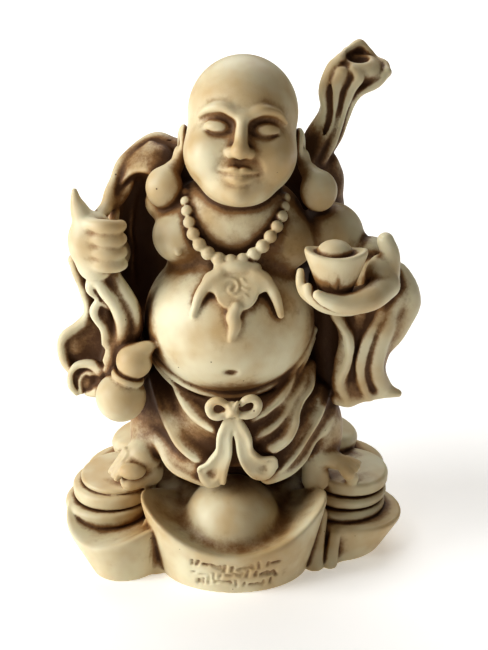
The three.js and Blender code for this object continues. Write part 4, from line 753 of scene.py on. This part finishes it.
def left_sleeve():
    """The wide sleeve, which hangs in folds and swings out to a point."""
    clay = Clay(FIGURE, [14, -34, 40], [60, 12, 100], cloth=True)
    clay.roll([[39, -12, 90, 8], [41.4, -13.6, 78, 9.4], [39.4, -14.4, 66, 6.8],
        [38.4, -14.6, 55, 5.6]], flat=0.8)
    clay.roll([[27, -6, 84, 5], [28, -7, 72, 6], [29, -9, 60, 6], [30.4, -10.6, 52, 5]], 2)
    clay.roll([[26, -6, 62, 5], [28, -8, 50, 5]], 2)
    strands(clay, [
        [[43, -17, 92, 2.2], [46.8, -16, 86.6, 4.4], [48.6, -15.6, 79.6, 5.4], [45.2, -16, 71.4, 5],
         [41.4, -16.4, 65.4, 4.2], [39.8, -16.6, 60.4, 4], [42, -16.8, 56, 3.2], [45, -16.6, 52.6, 1.9],
         [48.4, -16.4, 50.8, 0.8]],
        [[30.6, -19, 50.6, 2.2], [34.6, -18.6, 51, 2.6], [39, -18.4, 51.6, 2.2], [44, -17.6, 51.4, 1.5],
         [48.6, -16.4, 50.8, 1]],
    ], 1.4)
    clay.roll([[36, -18, 84, 4], [36, -18.4, 74, 3.6], [34.6, -18.6, 64, 3.2], [35.4, -18.4, 54, 3]], 1.4)
    clay.roll([[46, -19.4, 83, 2.6], [43.6, -20.6, 75, 3], [41.4, -20.8, 67, 3], [40.8, -20.2, 60, 2.8],
        [42.8, -18.8, 54, 2]], 1.8)
    clay.roll([[43.4, -19.8, 83, 2], [41.6, -21, 77, 2.1], [39.2, -21.8, 72, 2.1], [37, -22, 65, 2.1],
        [36.8, -21.6, 60, 2], [38, -20.8, 55, 1.8], [40, -19.8, 51.4, 1.4]], 1)
    clay.roll([[30.2, -20, 77, 1.4], [32, -20.6, 70, 1.8], [31, -20.4, 62, 1.8], [30.6, -19.8, 56, 1.8],
        [31.8, -19.4, 51.6, 1.8]], 1.4)
    folds(clay, [
        [[28.4, -22.4, 79], [30, -23.8, 76.4], [32.6, -24.4, 72], [33.2, -24.4, 67], [32.2, -24, 62],
         [30.8, -23.6, 58], [31.6, -22.8, 54], [33.2, -21.8, 50.6]],
    ], 1.3, (38, 20))
    grooves(clay, [
        [[36.4, -23, 80, 0.8], [35.6, -23, 72, 0.9], [34.6, -22.8, 65, 0.9], [34.2, -22.4, 58, 0.6]],
        [[43.4, -23.6, 78, 0.3], [41, -24, 73, 0.6], [39.2, -24, 66, 0.7], [38.8, -23.4, 60, 0.6],
         [40.4, -21.4, 54, 0.3]],
    ], 0.8)
    clay.ripple(0.15, 2.6)
    return clay


def small_ingot(clay):
    """The ingot in the open hand."""
    clay.add(ingot([28, -34.4, 91], -6, 19.5, 12, 10, 8, 11.4, 12.8, 2.6), 0.4)
    clay.lump([27.6, -33.6, 100.6], [5, 4, 3.8], 0.5)


def necklace(clay):
    """Beads evenly spaced on a curve across the chest, growing towards the pendant."""
    line = curve([
        [-13.6, -15, 112], [-13, -20, 109.4], [-12.2, -22.6, 106], [-10.4, -24.8, 101.8],
        [-7.4, -26, 98.4], [-3.6, -26.8, 96.4], [1.6, -27, 96], [6, -26.4, 98], [9, -25.6, 101],
        [11.8, -24, 104.6], [13.8, -21, 107.8], [14.6, -16, 111],
    ], 400)
    run = np.concatenate([[0], np.cumsum(np.linalg.norm(np.diff(line, axis=0), axis=1))])
    for n in range(BEADS):
        share = n / (BEADS - 1)
        radius = BEAD_RADIUS * (1 - 0.3 * abs(2 * share - 1) ** 1.5)
        centre = [np.interp(share * run[-1], run, line[:, i]) for i in range(3)]
        clay.add(ball(centre, radius / PART), 0.3)


def pendant(clay):
    """The plaque, its two curved wings and the tail below it, all lying on the belly."""
    lean = [PLAQUE_LEAN, 0, 0]
    clay.add(disc(PLAQUE, 6.2, 1.8, 0.7, lean), 0.5)
    clay.roll([[-4, -28.4, 94.4, 1.5], [1, -29, 95, 2], [6.4, -28.2, 94.4, 1.5]], 0.7)
    clay.lump([-4.6, -30.9, 91.4], [4, 3.4, 1.3], 0.8, lean)
    clay.lump([6.8, -30.7, 91.4], [4, 3.4, 1.3], 0.8, lean)
    strands(clay, [
        [[-3.4, -29.4, 93.6, 1.8], [-7, -31, 90.6, 1.8], [-9.4, -32.4, 87.4, 1.5], [-11, -34, 82.8, 1]],
        [[5.6, -29.2, 93.4, 1.8], [9.4, -30.4, 90.8, 1.8], [11.8, -31.8, 87, 1.5], [13.2, -33.2, 82.4, 1]],
        [[1, -35, 85.2, 1.8], [0, -36, 83, 2], [0.4, -36.6, 80.6, 1.9], [-0.6, -37.6, 77, 0.9]],
    ], 0.5)


def plaque_marks(clay):
    """A raised curl and three short strokes on the plaque; they aren't letters."""
    lean = math.radians(PLAQUE_LEAN)
    up, out = Vector((0, math.cos(lean), math.sin(lean))), Vector((0, -math.sin(lean), math.cos(lean)))
    for curl in (
        [(-3.8, 0.4), (-2.6, 2.6), (-0.2, 2.4), (0.4, 0.2), (-1, -1.2), (-2.2, -0.2), (-1.4, 0.9)],
        [(1.6, 2.9), (2.4, 1.6), (3.8, 1.5)],
        [(1.7, 0.4), (2.8, -0.2), (3.6, 0.2)],
        [(0.2, -2.2), (1.8, -1.6), (2.8, -2)],
    ):
        points = [Vector(PLAQUE) + Vector((u, 0, 0)) + up * v + out * 0.9 for u, v in curl]
        clay.roll([[*point, 0.42] for point in points], 0.3)


def mirrored(points):
    """A strand's points as far as the middle, and their mirror images beyond it."""
    return points + [[-x, y, z, radius] for x, y, z, radius in points[-2::-1]]


def head():
    """The head, in a frame of its own: upright, with its middle at the origin."""
    turn = Euler((-0.24, 0.07, 0), "ZYX").to_matrix().to_4x4()
    within = FIGURE @ Matrix.Translation((2.4, -13, 130)) @ turn
    clay = Clay(within, [-24, -24, -24], [24, 22, 24])
    clay.lump([0, 1.5, 4.5], [15.4, 17, 16])
    clay.lump([0, -2, -6.5], [15.8, 14, 13.5], 3)
    clay.lump([0, -6.6, -15.5], [9.4, 8.6, 5.8], 3)
    for way in (-1, 1):
        clay.add(ball([way * 7.8, -9.2, -7], 6.4), 3)
        # eye socket, brow, and a lowered lid with its creases
        clay.dent([way * 6.2, -16.4, 0.8], [4.8, 3.6, 3.2], 2.4)
        clay.roll([[way * 1.6, -15, 3.6, 1.1], [way * 5.4, -14.8, 5.4, 1.2], [way * 9.4, -12.8, 4.8, 0.9],
            [way * 12.2, -10.2, 2.6, 0.3]], 1.6)
        clay.lump([way * 6.2, -11.4, 0], [4.1, 3.2, 2.6], 0.4)
        clay.groove([[way * 2.8, -14, -0.9, 0.2], [way * 6.2, -15, -2, 0.5],
            [way * 9.8, -12.6, -1, 0.2]], 0.6)
        clay.groove([[way * 2.8, -14.4, 1.8, 0.3], [way * 6.2, -14.8, 2.9, 0.4],
            [way * 10, -12.4, 1.8, 0.3]], 0.6)
        clay.groove([[way * 3.4, -16.6, -7.6, 0.3], [way * 5.2, -16, -9.4, 0.5],
            [way * 6.2, -15, -11.4, 0.3]], 1.4)
    # nose
    clay.roll([[0, -14.6, 3.6, 1.4], [0, -16, -1, 1.6], [0, -17.2, -5.2, 2.1]], 1.4)
    clay.add(ball([0, -17.4, -5.8], 2.4), 0.8)
    for way in (-1, 1):
        clay.add(ball([way * 2.5, -15.9, -6.4], 1.6), 0.8)
        clay.cut(ball([way * 1.3, -17.8, -8.1], 0.6), 0.4)
    # lips
    clay.groove([[0, -17, -8.4, 0.4], [0, -17, -9.6, 0.4]], 1)
    clay.roll(mirrored([[-4.6, -14.2, -11.4, 0.5], [-1.6, -15.9, -11, 1.1], [0, -15.9, -11.3, 1]]), 0.8)
    clay.roll(mirrored([[-3.6, -14.2, -12.9, 0.6], [0, -15.4, -13.6, 1.5]]), 0.8)
    clay.groove(mirrored([[-5.4, -14.4, -11.8, 0.3], [-2, -16.6, -12.2, 0.6], [0, -17, -12.4, 0.6]]), 0.4)
    # chin
    clay.groove(mirrored([[-2.6, -15.6, -15.6, 0.4], [0, -16.2, -15.8, 0.6]]), 1.4)
    clay.add(ball([0, -12, -17.4], 3.4), 1.8)
    clay.groove(mirrored([[-8, -11.6, -17.4, 0.3], [-4.6, -12.8, -20, 0.5], [0, -13.4, -21, 0.5]]), 1.2)
    return clay


def ears(clay):
    """Ears with long lobes, which hang beside the neck."""
    for side, dx, dz in ((-1, 0, 0), (1, 4.6, -1)):
        clay.lump([side * 14 + dx, -7, 124.6 + dz], [1.9, 3.6, 5.4], 1.2, [12, 0, 0])
        clay.dent([side * 15.8 + dx, -8.6, 124.8 + dz], [0.9, 1.6, 3.2], 0.6, [12, 0, 0])
        clay.roll([[side * 15 + dx, -8.2, 122 + dz, 1.9], [side * 15.8 + dx, -9.4, 119.2 + dz, 2.1],
            [side * 17.8 + dx, -12, 117 + dz, 2.9]], 1)
        clay.lump([side * 19.4 + dx, -14, 113.4 + dz], [5.3, 4.8, 6], 1.2)


def model():
    """All the clay, joined from its blocks and the forms that lie on them."""
    whole = Clay(FIGURE, [-66, -58, -12], [66, 40, 158])
    whole.join(base())
    whole.join(sack(), 0.8)
    whole.join(sack_neck(), 1.2)
    whole.join(torso(), 0.8)
    whole.join(skirt(), 0.8)
    waistband(whole)
    sash(whole)
    feet(whole)
    whole.join(right_sleeve(), 0.6)
    whole.join(right_arm(), 0.4)
    gourd(whole)
    whole.join(left_sleeve(), 0.6)
    whole.join(left_arm(), 0.6)
    small_ingot(whole)
    whole.join(head(), 0.6)
    ears(whole)
    necklace(whole)
    pendant(whole)
    plaque_marks(whole)
    return whole


# The surface


def surface(clay):
    """A mesh of quads through the nodes' zero level: one point in each cell that the surface crosses."""
    values = clay.values
    inside = values < 0
    count = np.zeros([n - 1 for n in values.shape], np.uint8)
    for corner in CORNERS:
        count += inside[tuple(slice(c, n - 1 + c) for c, n in zip(corner, values.shape))]
    cells = np.argwhere((count > 0) & (count < 8))
    at = {c: values[tuple((cells + c).T)] for c in CORNERS}
    points = np.zeros((len(cells), 3))
    hits = np.zeros(len(cells))
    for axis in range(3):
        for corner in CORNERS:
            if corner[axis]:
                continue
            end = tuple(1 if n == axis else c for n, c in enumerate(corner))
            a, b = at[corner], at[end]
            crossed = (a < 0) != (b < 0)
            share = a[crossed] / (a[crossed] - b[crossed])
            spot = np.tile(np.array(corner, float), (len(share), 1))
            spot[:, axis] = share
            points[crossed] += spot
            hits[crossed] += 1
    points = (points / hits[:, None] + cells + clay.first) * CELL

    steps = np.array([count.shape[1] * count.shape[2], count.shape[2], 1])
    numbers = cells @ steps
    quads = []
    for axis in range(3):
        low = [slice(None)] * 3
        high = [slice(None)] * 3
        low[axis], high[axis] = slice(0, -1), slice(1, None)
        a, b = inside[tuple(low)], inside[tuple(high)]
        u, v = (axis + 1) % 3, (axis + 2) % 3
        for first, second in ((a & ~b, 1), (~a & b, -1)):
            edges = np.argwhere(first) @ steps
            ring = [edges - steps[u] - steps[v], edges - steps[v], edges, edges - steps[u]]
            quads.append(np.stack(ring[::second], axis=1))
    return points, np.searchsorted(numbers, np.concatenate(quads))


def sealed(clay):
    """Marks the outermost nodes as outside, so that the surface closes."""
    for axis in range(3):
        for end in (0, -1):
            face = [slice(None)] * 3
            face[axis] = end
            clay.values[tuple(face)] = CELL
    return clay


def largest(points, quads):
    """Only the largest connected surface, without specks and inner bubbles."""
    owner = np.arange(len(points))
    links = np.concatenate([quads[:, (0, 1)], quads[:, (1, 2)], quads[:, (2, 3)]])
    while True:
        low = np.minimum(owner[links[:, 0]], owner[links[:, 1]])
        before = owner.copy()
        np.minimum.at(owner, links[:, 0], low)
        np.minimum.at(owner, links[:, 1], low)
        owner = owner[owner]
        if np.array_equal(before, owner):
            break
    names, sizes = np.unique(owner, return_counts=True)
    kept = owner == names[np.argmax(sizes)]
    number = np.cumsum(kept) - 1
    return points[kept], number[quads[kept[quads[:, 0]]]]


# The hollows


def blurred(values, reach):
    """Each node's mean over a box that reaches some nodes each way."""
    for axis in range(3):
        moved = np.moveaxis(values, axis, 0)
        total = np.cumsum(np.concatenate([
            np.repeat(moved[:1], reach + 1, 0), moved, np.repeat(moved[-1:], reach, 0),
        ]), axis=0, dtype=np.float32)
        values = np.moveaxis((total[2 * reach + 1:] - total[:-2 * reach - 1]) / (2 * reach + 1), 0, axis)
    return values


def sampled(grid, first, points):
    """A lattice's values at points, evened out between the nodes."""
    place = points / CELL - first
    whole = np.clip(place.astype(int), 0, np.array(grid.shape) - 2)
    part = place - whole
    value = np.zeros(len(points))
    for corner in CORNERS:
        weight = np.prod([part[:, n] if c else 1 - part[:, n] for n, c in enumerate(corner)], axis=0)
        value += weight * grid[tuple((whole + corner).T)]
    return value


def crevices(clay, points, reach):
    """How closed in each point is: 0 on a flat face, more in a groove, less on an edge."""
    cells = max(round(reach / CELL), 1)
    solid = np.clip(0.5 - clay.values / CELL, 0, 1)
    return sampled(blurred(blurred(solid, cells), max(cells // 2, 1)), clay.first, points) * 2 - 1


def cloth_share(clay, points):
    """1 at points on the surface of a block of cloth, and 0 away from it."""
    share = np.zeros(len(points))
    for part in clay.joined:
        if part.cloth:
            last = (part.first + part.values.shape - 1) * CELL
            within = np.all((points > part.first * CELL) & (points < last), axis=1)
            away = np.abs(sampled(part.values, part.first, points))
            share = np.maximum(share, np.where(within, np.clip(1.6 - away, 0, 1), 0))
    return share


def hollows(clay, points, normals, reach):
    """The share of each point's outlook that the piece itself blocks within a reach, the near parts most;
    the material paints shade from it.
    """
    last = np.array(clay.values.shape) - 1
    blocked = np.zeros(len(points))
    total = np.zeros(len(points))
    steps = reach * np.array([0.06, 0.12, 0.2, 0.32, 0.48, 0.7, 1])
    for n in range(WAYS_OUT):
        # directions evenly spread over a sphere; those that point inwards are mirrored outwards
        z = 1 - (2 * n + 1) / WAYS_OUT
        turn = n * math.pi * (3 - math.sqrt(5))
        way = np.array([math.cos(turn) * math.sqrt(1 - z * z), math.sin(turn) * math.sqrt(1 - z * z), z])
        facing = normals @ way
        ways_out = way - np.minimum(facing, 0)[:, None] * 2 * normals
        weight = np.abs(facing)
        open_yet = np.ones(len(points), bool)
        for step in steps:
            spot = (points + normals * 0.5 + ways_out * step) / CELL - clay.first
            spot = np.clip(np.rint(spot).astype(int), 0, last)
            hit = open_yet & (clay.values[tuple(spot.T)] < 0)
            blocked[hit] += weight[hit] * (1 - 0.75 * step / reach)
            open_yet &= ~hit
        total += weight
    return blocked / total


# The piece and its material


def linked(name, data):
    """A new object in the scene."""
    made = bpy.data.objects.new(name, data)
    bpy.context.scene.collection.objects.link(made)
    return made


def thinned(points, quads):
    """A smooth-shaded mesh in metres of few enough triangles."""
    rough = bpy.data.meshes.new("rough")
    rough.from_pydata(points * MM, [], quads)
    block = linked("rough", rough)
    thinning = block.modifiers.new("thinning", "DECIMATE")
    thinning.ratio = min(1, TRIANGLES / (2 * len(quads)))
    mesh = bpy.data.meshes.new_from_object(block.evaluated_get(bpy.context.evaluated_depsgraph_get()))
    bpy.data.objects.remove(block)
    bpy.data.meshes.remove(rough)
    mesh.shade_smooth()
    return mesh


def mark(mesh, clay):
    """Notes on the mesh's points how hollow they are and where they are cloth, for the material."""
    places, normals = np.empty(len(mesh.vertices) * 3), np.empty(len(mesh.vertices) * 3)
    mesh.vertices.foreach_get("co", places)
    mesh.vertex_normals.foreach_get("vector", normals)
    places, normals = places.reshape(-1, 3) / MM, normals.reshape(-1, 3)
    for name, values in (
        ("crevice", crevices(clay, places, CREVICE_REACH)),
        ("groove", crevices(clay, places, GROOVE_REACH)),
        ("hollow", hollows(clay, places, normals, HOLLOW_REACH)),
        ("cloth", cloth_share(clay, places)),
    ):
        mesh.attributes.new(name, "FLOAT", "POINT").data.foreach_set("value", values)


def cast():
    """The whole figurine as one object, its underside flat on the ground."""
    clay = model()
    heights = (np.arange(clay.values.shape[2]) + clay.first[2]) * CELL
    clay.values = np.maximum(clay.values, -heights.astype(np.float32))
    points, quads = largest(*surface(sealed(clay)))
    points[:, 2] = np.maximum(points[:, 2], 0)
    mesh = thinned(points, quads)
    mesh.name = "budai"
    mark(mesh, clay)
    return linked("budai", mesh)


class Nodes:
    """A material's node tree, built one node at a time."""

    def __init__(self, name):
        self.material = bpy.data.materials.new(name)
        self.material.use_nodes = True
        self.tree = self.material.node_tree
        self.shader = self.tree.nodes["Principled BSDF"]

    def node(self, kind, settings=(), **inputs):
        """A new node. An input is given by its name, or by its number as i0, i1 and so on."""
        made = self.tree.nodes.new(kind)
        for key, value in dict(settings).items():
            setattr(made, key, value)
        for key, value in inputs.items():
            self.put(made.inputs[int(key[1:]) if key[1:].isdigit() else key], value)
        return made

    def put(self, socket, value):
        """Sets a socket to a number or colour, or links it to an output."""
        if isinstance(value, bpy.types.NodeSocket):
            self.tree.links.new(value, socket)
        else:
            socket.default_value = value

    def shade(self, looks):
        """Sets the shader's own inputs."""
        for name, value in looks.items():
            self.put(self.shader.inputs[name], value)

    def maths(self, operation, a, b):
        return self.node("ShaderNodeMath", {"operation": operation}, i0=a, i1=b).outputs[0]

    def times(self, a, b):
        return self.maths("MULTIPLY", a, b)

    def total(self, *shares, base=0.0):
        """A base number plus each value times its share."""
        for value, share in shares:
            base = self.maths("ADD", base, self.times(value, share))
        return base

    def ramp(self, value, low, high):
        """0 at and below low, 1 at and above high, and smooth between."""
        smooth = {"interpolation_type": "SMOOTHSTEP"}
        return self.node("ShaderNodeMapRange", smooth, i0=value, i1=low, i2=high).outputs[0]

    def mix(self, share, a, b):
        """From colour a at 0 to colour b at 1."""
        return self.node("ShaderNodeMix", {"data_type": "RGBA"}, i0=share, i6=a, i7=b).outputs[2]

    def place(self):
        return self.node("ShaderNodeTexCoord").outputs["Object"]

    def noise(self, scale, detail=3, rough=0.5):
        settings = {"Vector": self.place(), "Scale": scale, "Detail": detail, "Roughness": rough}
        return self.node("ShaderNodeTexNoise", **settings).outputs["Fac"]

    def even_noise(self, *settings):
        """Noise round 0 rather than round a half."""
        return self.maths("SUBTRACT", self.noise(*settings), 0.5)

    def attribute(self, name):
        return self.node("ShaderNodeAttribute", {"attribute_name": name}).outputs["Fac"]


def resin():
    """Ivory resin with a brown wash, wiped off all but the hollows and the cloth; the wide hollows are
    darker with painted shade too, and the cloth is darker at the sides.
    """
    n = Nodes("ivory_resin")
    crevice, groove, hollow, cloth = (n.attribute(name) for name in ("crevice", "groove", "hollow", "cloth"))
    patchy, cloudy, grain = n.even_noise(230, 5, 0.6), n.even_noise(55), n.even_noise(1100, 4, 0.7)
    _, depth, height = n.node("ShaderNodeSeparateXYZ", Vector=n.place()).outputs
    # the hollows' wash and painted shade are much weaker low down, on the base
    hollow = n.times(hollow, n.total((n.ramp(height, 0.024, 0.034), 0.85), base=0.15))
    # cloth is darker: a little all over, more in its hollows with wash and painted shade, more midway
    # between front and back, and less near the top
    sides = n.total((n.ramp(depth, -0.02, 0.005), 0.4), (n.ramp(depth, 0.005, 0.02), -0.4))
    sides = n.total((n.ramp(height, 0.12, 0.13), -0.34), base=sides)
    held = n.times(cloth, n.total((hollow, 1.2), (sides, 1.0), base=0.2))
    # tan where the wash and painted shade are light, umber where they are heavy: crevices, grooves and noise
    # are wash, the hollows are painted shade and wash
    tan_wash_and_shade = n.total((hollow, 1.9), (held, 1.0), (groove, 1.6), (patchy, 0.7), (cloudy, 0.5), (grain, 0.3))
    thick = n.total((hollow, 1.0), (held, 0.85), (crevice, 1.0), (groove, 0.6), (patchy, 0.6), (grain, 0.4))
    dark = n.ramp(thick, 0.2, 0.72)
    colour = n.mix(n.ramp(cloudy, -0.2, 0.2), PALE, IVORY)
    colour = n.mix(n.times(n.ramp(tan_wash_and_shade, -0.06, 0.55), 0.92), colour, TAN)
    colour = n.mix(n.times(dark, 0.9), colour, UMBER)
    # pinholes where air bubbles met the mould
    spots = n.node("ShaderNodeTexVoronoi", Vector=n.place(), Scale=330.0)
    some, wide, _ = n.node("ShaderNodeSeparateColor", Color=spots.outputs["Color"]).outputs
    hole = n.maths("LESS_THAN", spots.outputs["Distance"], n.times(wide, 0.1))
    hole = n.times(hole, n.maths("GREATER_THAN", some, 0.88))
    rough = n.times(n.total((cloth, 0.8), (dark, 0.8)), n.noise(380, 5, 0.7))
    relief = n.total((n.noise(900, 4, 0.6), 1.0), (rough, 3.0), (hole, -3.0))
    bump = n.node("ShaderNodeBump", Strength=0.28, Distance=0.0002, Height=relief)
    n.shade({
        "Base Color": n.mix(n.times(hole, 0.8), colour, UMBER),
        "Roughness": n.total((n.noise(420), 0.16), (dark, 0.18), base=0.36),
        "Normal": bump.outputs[0],
        "Specular IOR Level": 0.3,
        "Subsurface Weight": 0.15,
        "Subsurface Radius": (0.002, 0.0014, 0.0007),
        "Subsurface Scale": 1.0,
    })
    return n.material


# The studio


def floor():
    """A pale floor that fills the view."""
    mesh = bpy.data.meshes.new("floor")
    mesh.from_pydata([(-4, -4, 0), (4, -4, 0), (4, 4, 0), (-4, 4, 0)], [], [(0, 1, 2, 3)])
    pale = Nodes("pale_floor")
    pale.shade({
        "Base Color": (0.93, 0.93, 0.93, 1),
        "Roughness": 0.8,
        "Emission Color": (1, 0.96, 0.89, 1),
        "Emission Strength": 0.32,
    })
    mesh.materials.append(pale.material)
    linked("floor", mesh)


def lights():
    """Soft light from the left and from above, a lit floor behind, and a faint glow all round."""
    for name, place, aim, size, power in (
        ("key", (-1.08, -0.3, 0.4), (0, -0.01, 0.07), 0.6, 10.6),
        ("fill", (0.8, -0.6, 0.35), (0, -0.01, 0.07), 0.8, 0.1),
        ("top", (-0.55, -0.4, 0.9), (0, 0, 0.07), 0.5, 2.3),
        ("backdrop", (0, 1.1, 1.1), (0, 1.1, 0), 1.4, 14),
    ):
        lamp = bpy.data.lights.new(name, "AREA")
        lamp.size = size
        lamp.energy = power
        light = linked(name, lamp)
        light.location = place
        light.rotation_euler = (Vector(aim) - Vector(place)).to_track_quat("-Z", "Y").to_euler()
    world = bpy.data.worlds.new("studio")
    world.use_nodes = True
    glow = world.node_tree.nodes["Background"]
    glow.inputs["Color"].default_value = (1, 1, 1, 1)
    glow.inputs["Strength"].default_value = 0.05
    scene = bpy.context.scene
    scene.world = world
    scene.view_settings.view_transform = "Standard"
    scene.view_settings.look = "Medium High Contrast"


def camera():
    """A camera in front, which looks down on the figurine."""
    lens = bpy.data.cameras.new("camera")
    lens.sensor_width = SENSOR
    lens.sensor_height = SENSOR
    lens.sensor_fit = "AUTO"
    lens.lens = FOCAL_PIXELS * SENSOR / PICTURE_HEIGHT
    viewer = linked("camera", lens)
    tilt = math.radians(DEGREES_DOWN)
    viewer.location = (AIM[0], AIM[1] - DISTANCE * math.cos(tilt), AIM[2] + DISTANCE * math.sin(tilt))
    viewer.rotation_euler = (math.pi / 2 - tilt, 0, 0)
    bpy.context.scene.camera = viewer


budai = cast()
budai.data.materials.append(resin())
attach(budai, "root")
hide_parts("figure")
floor()
lights()
camera()
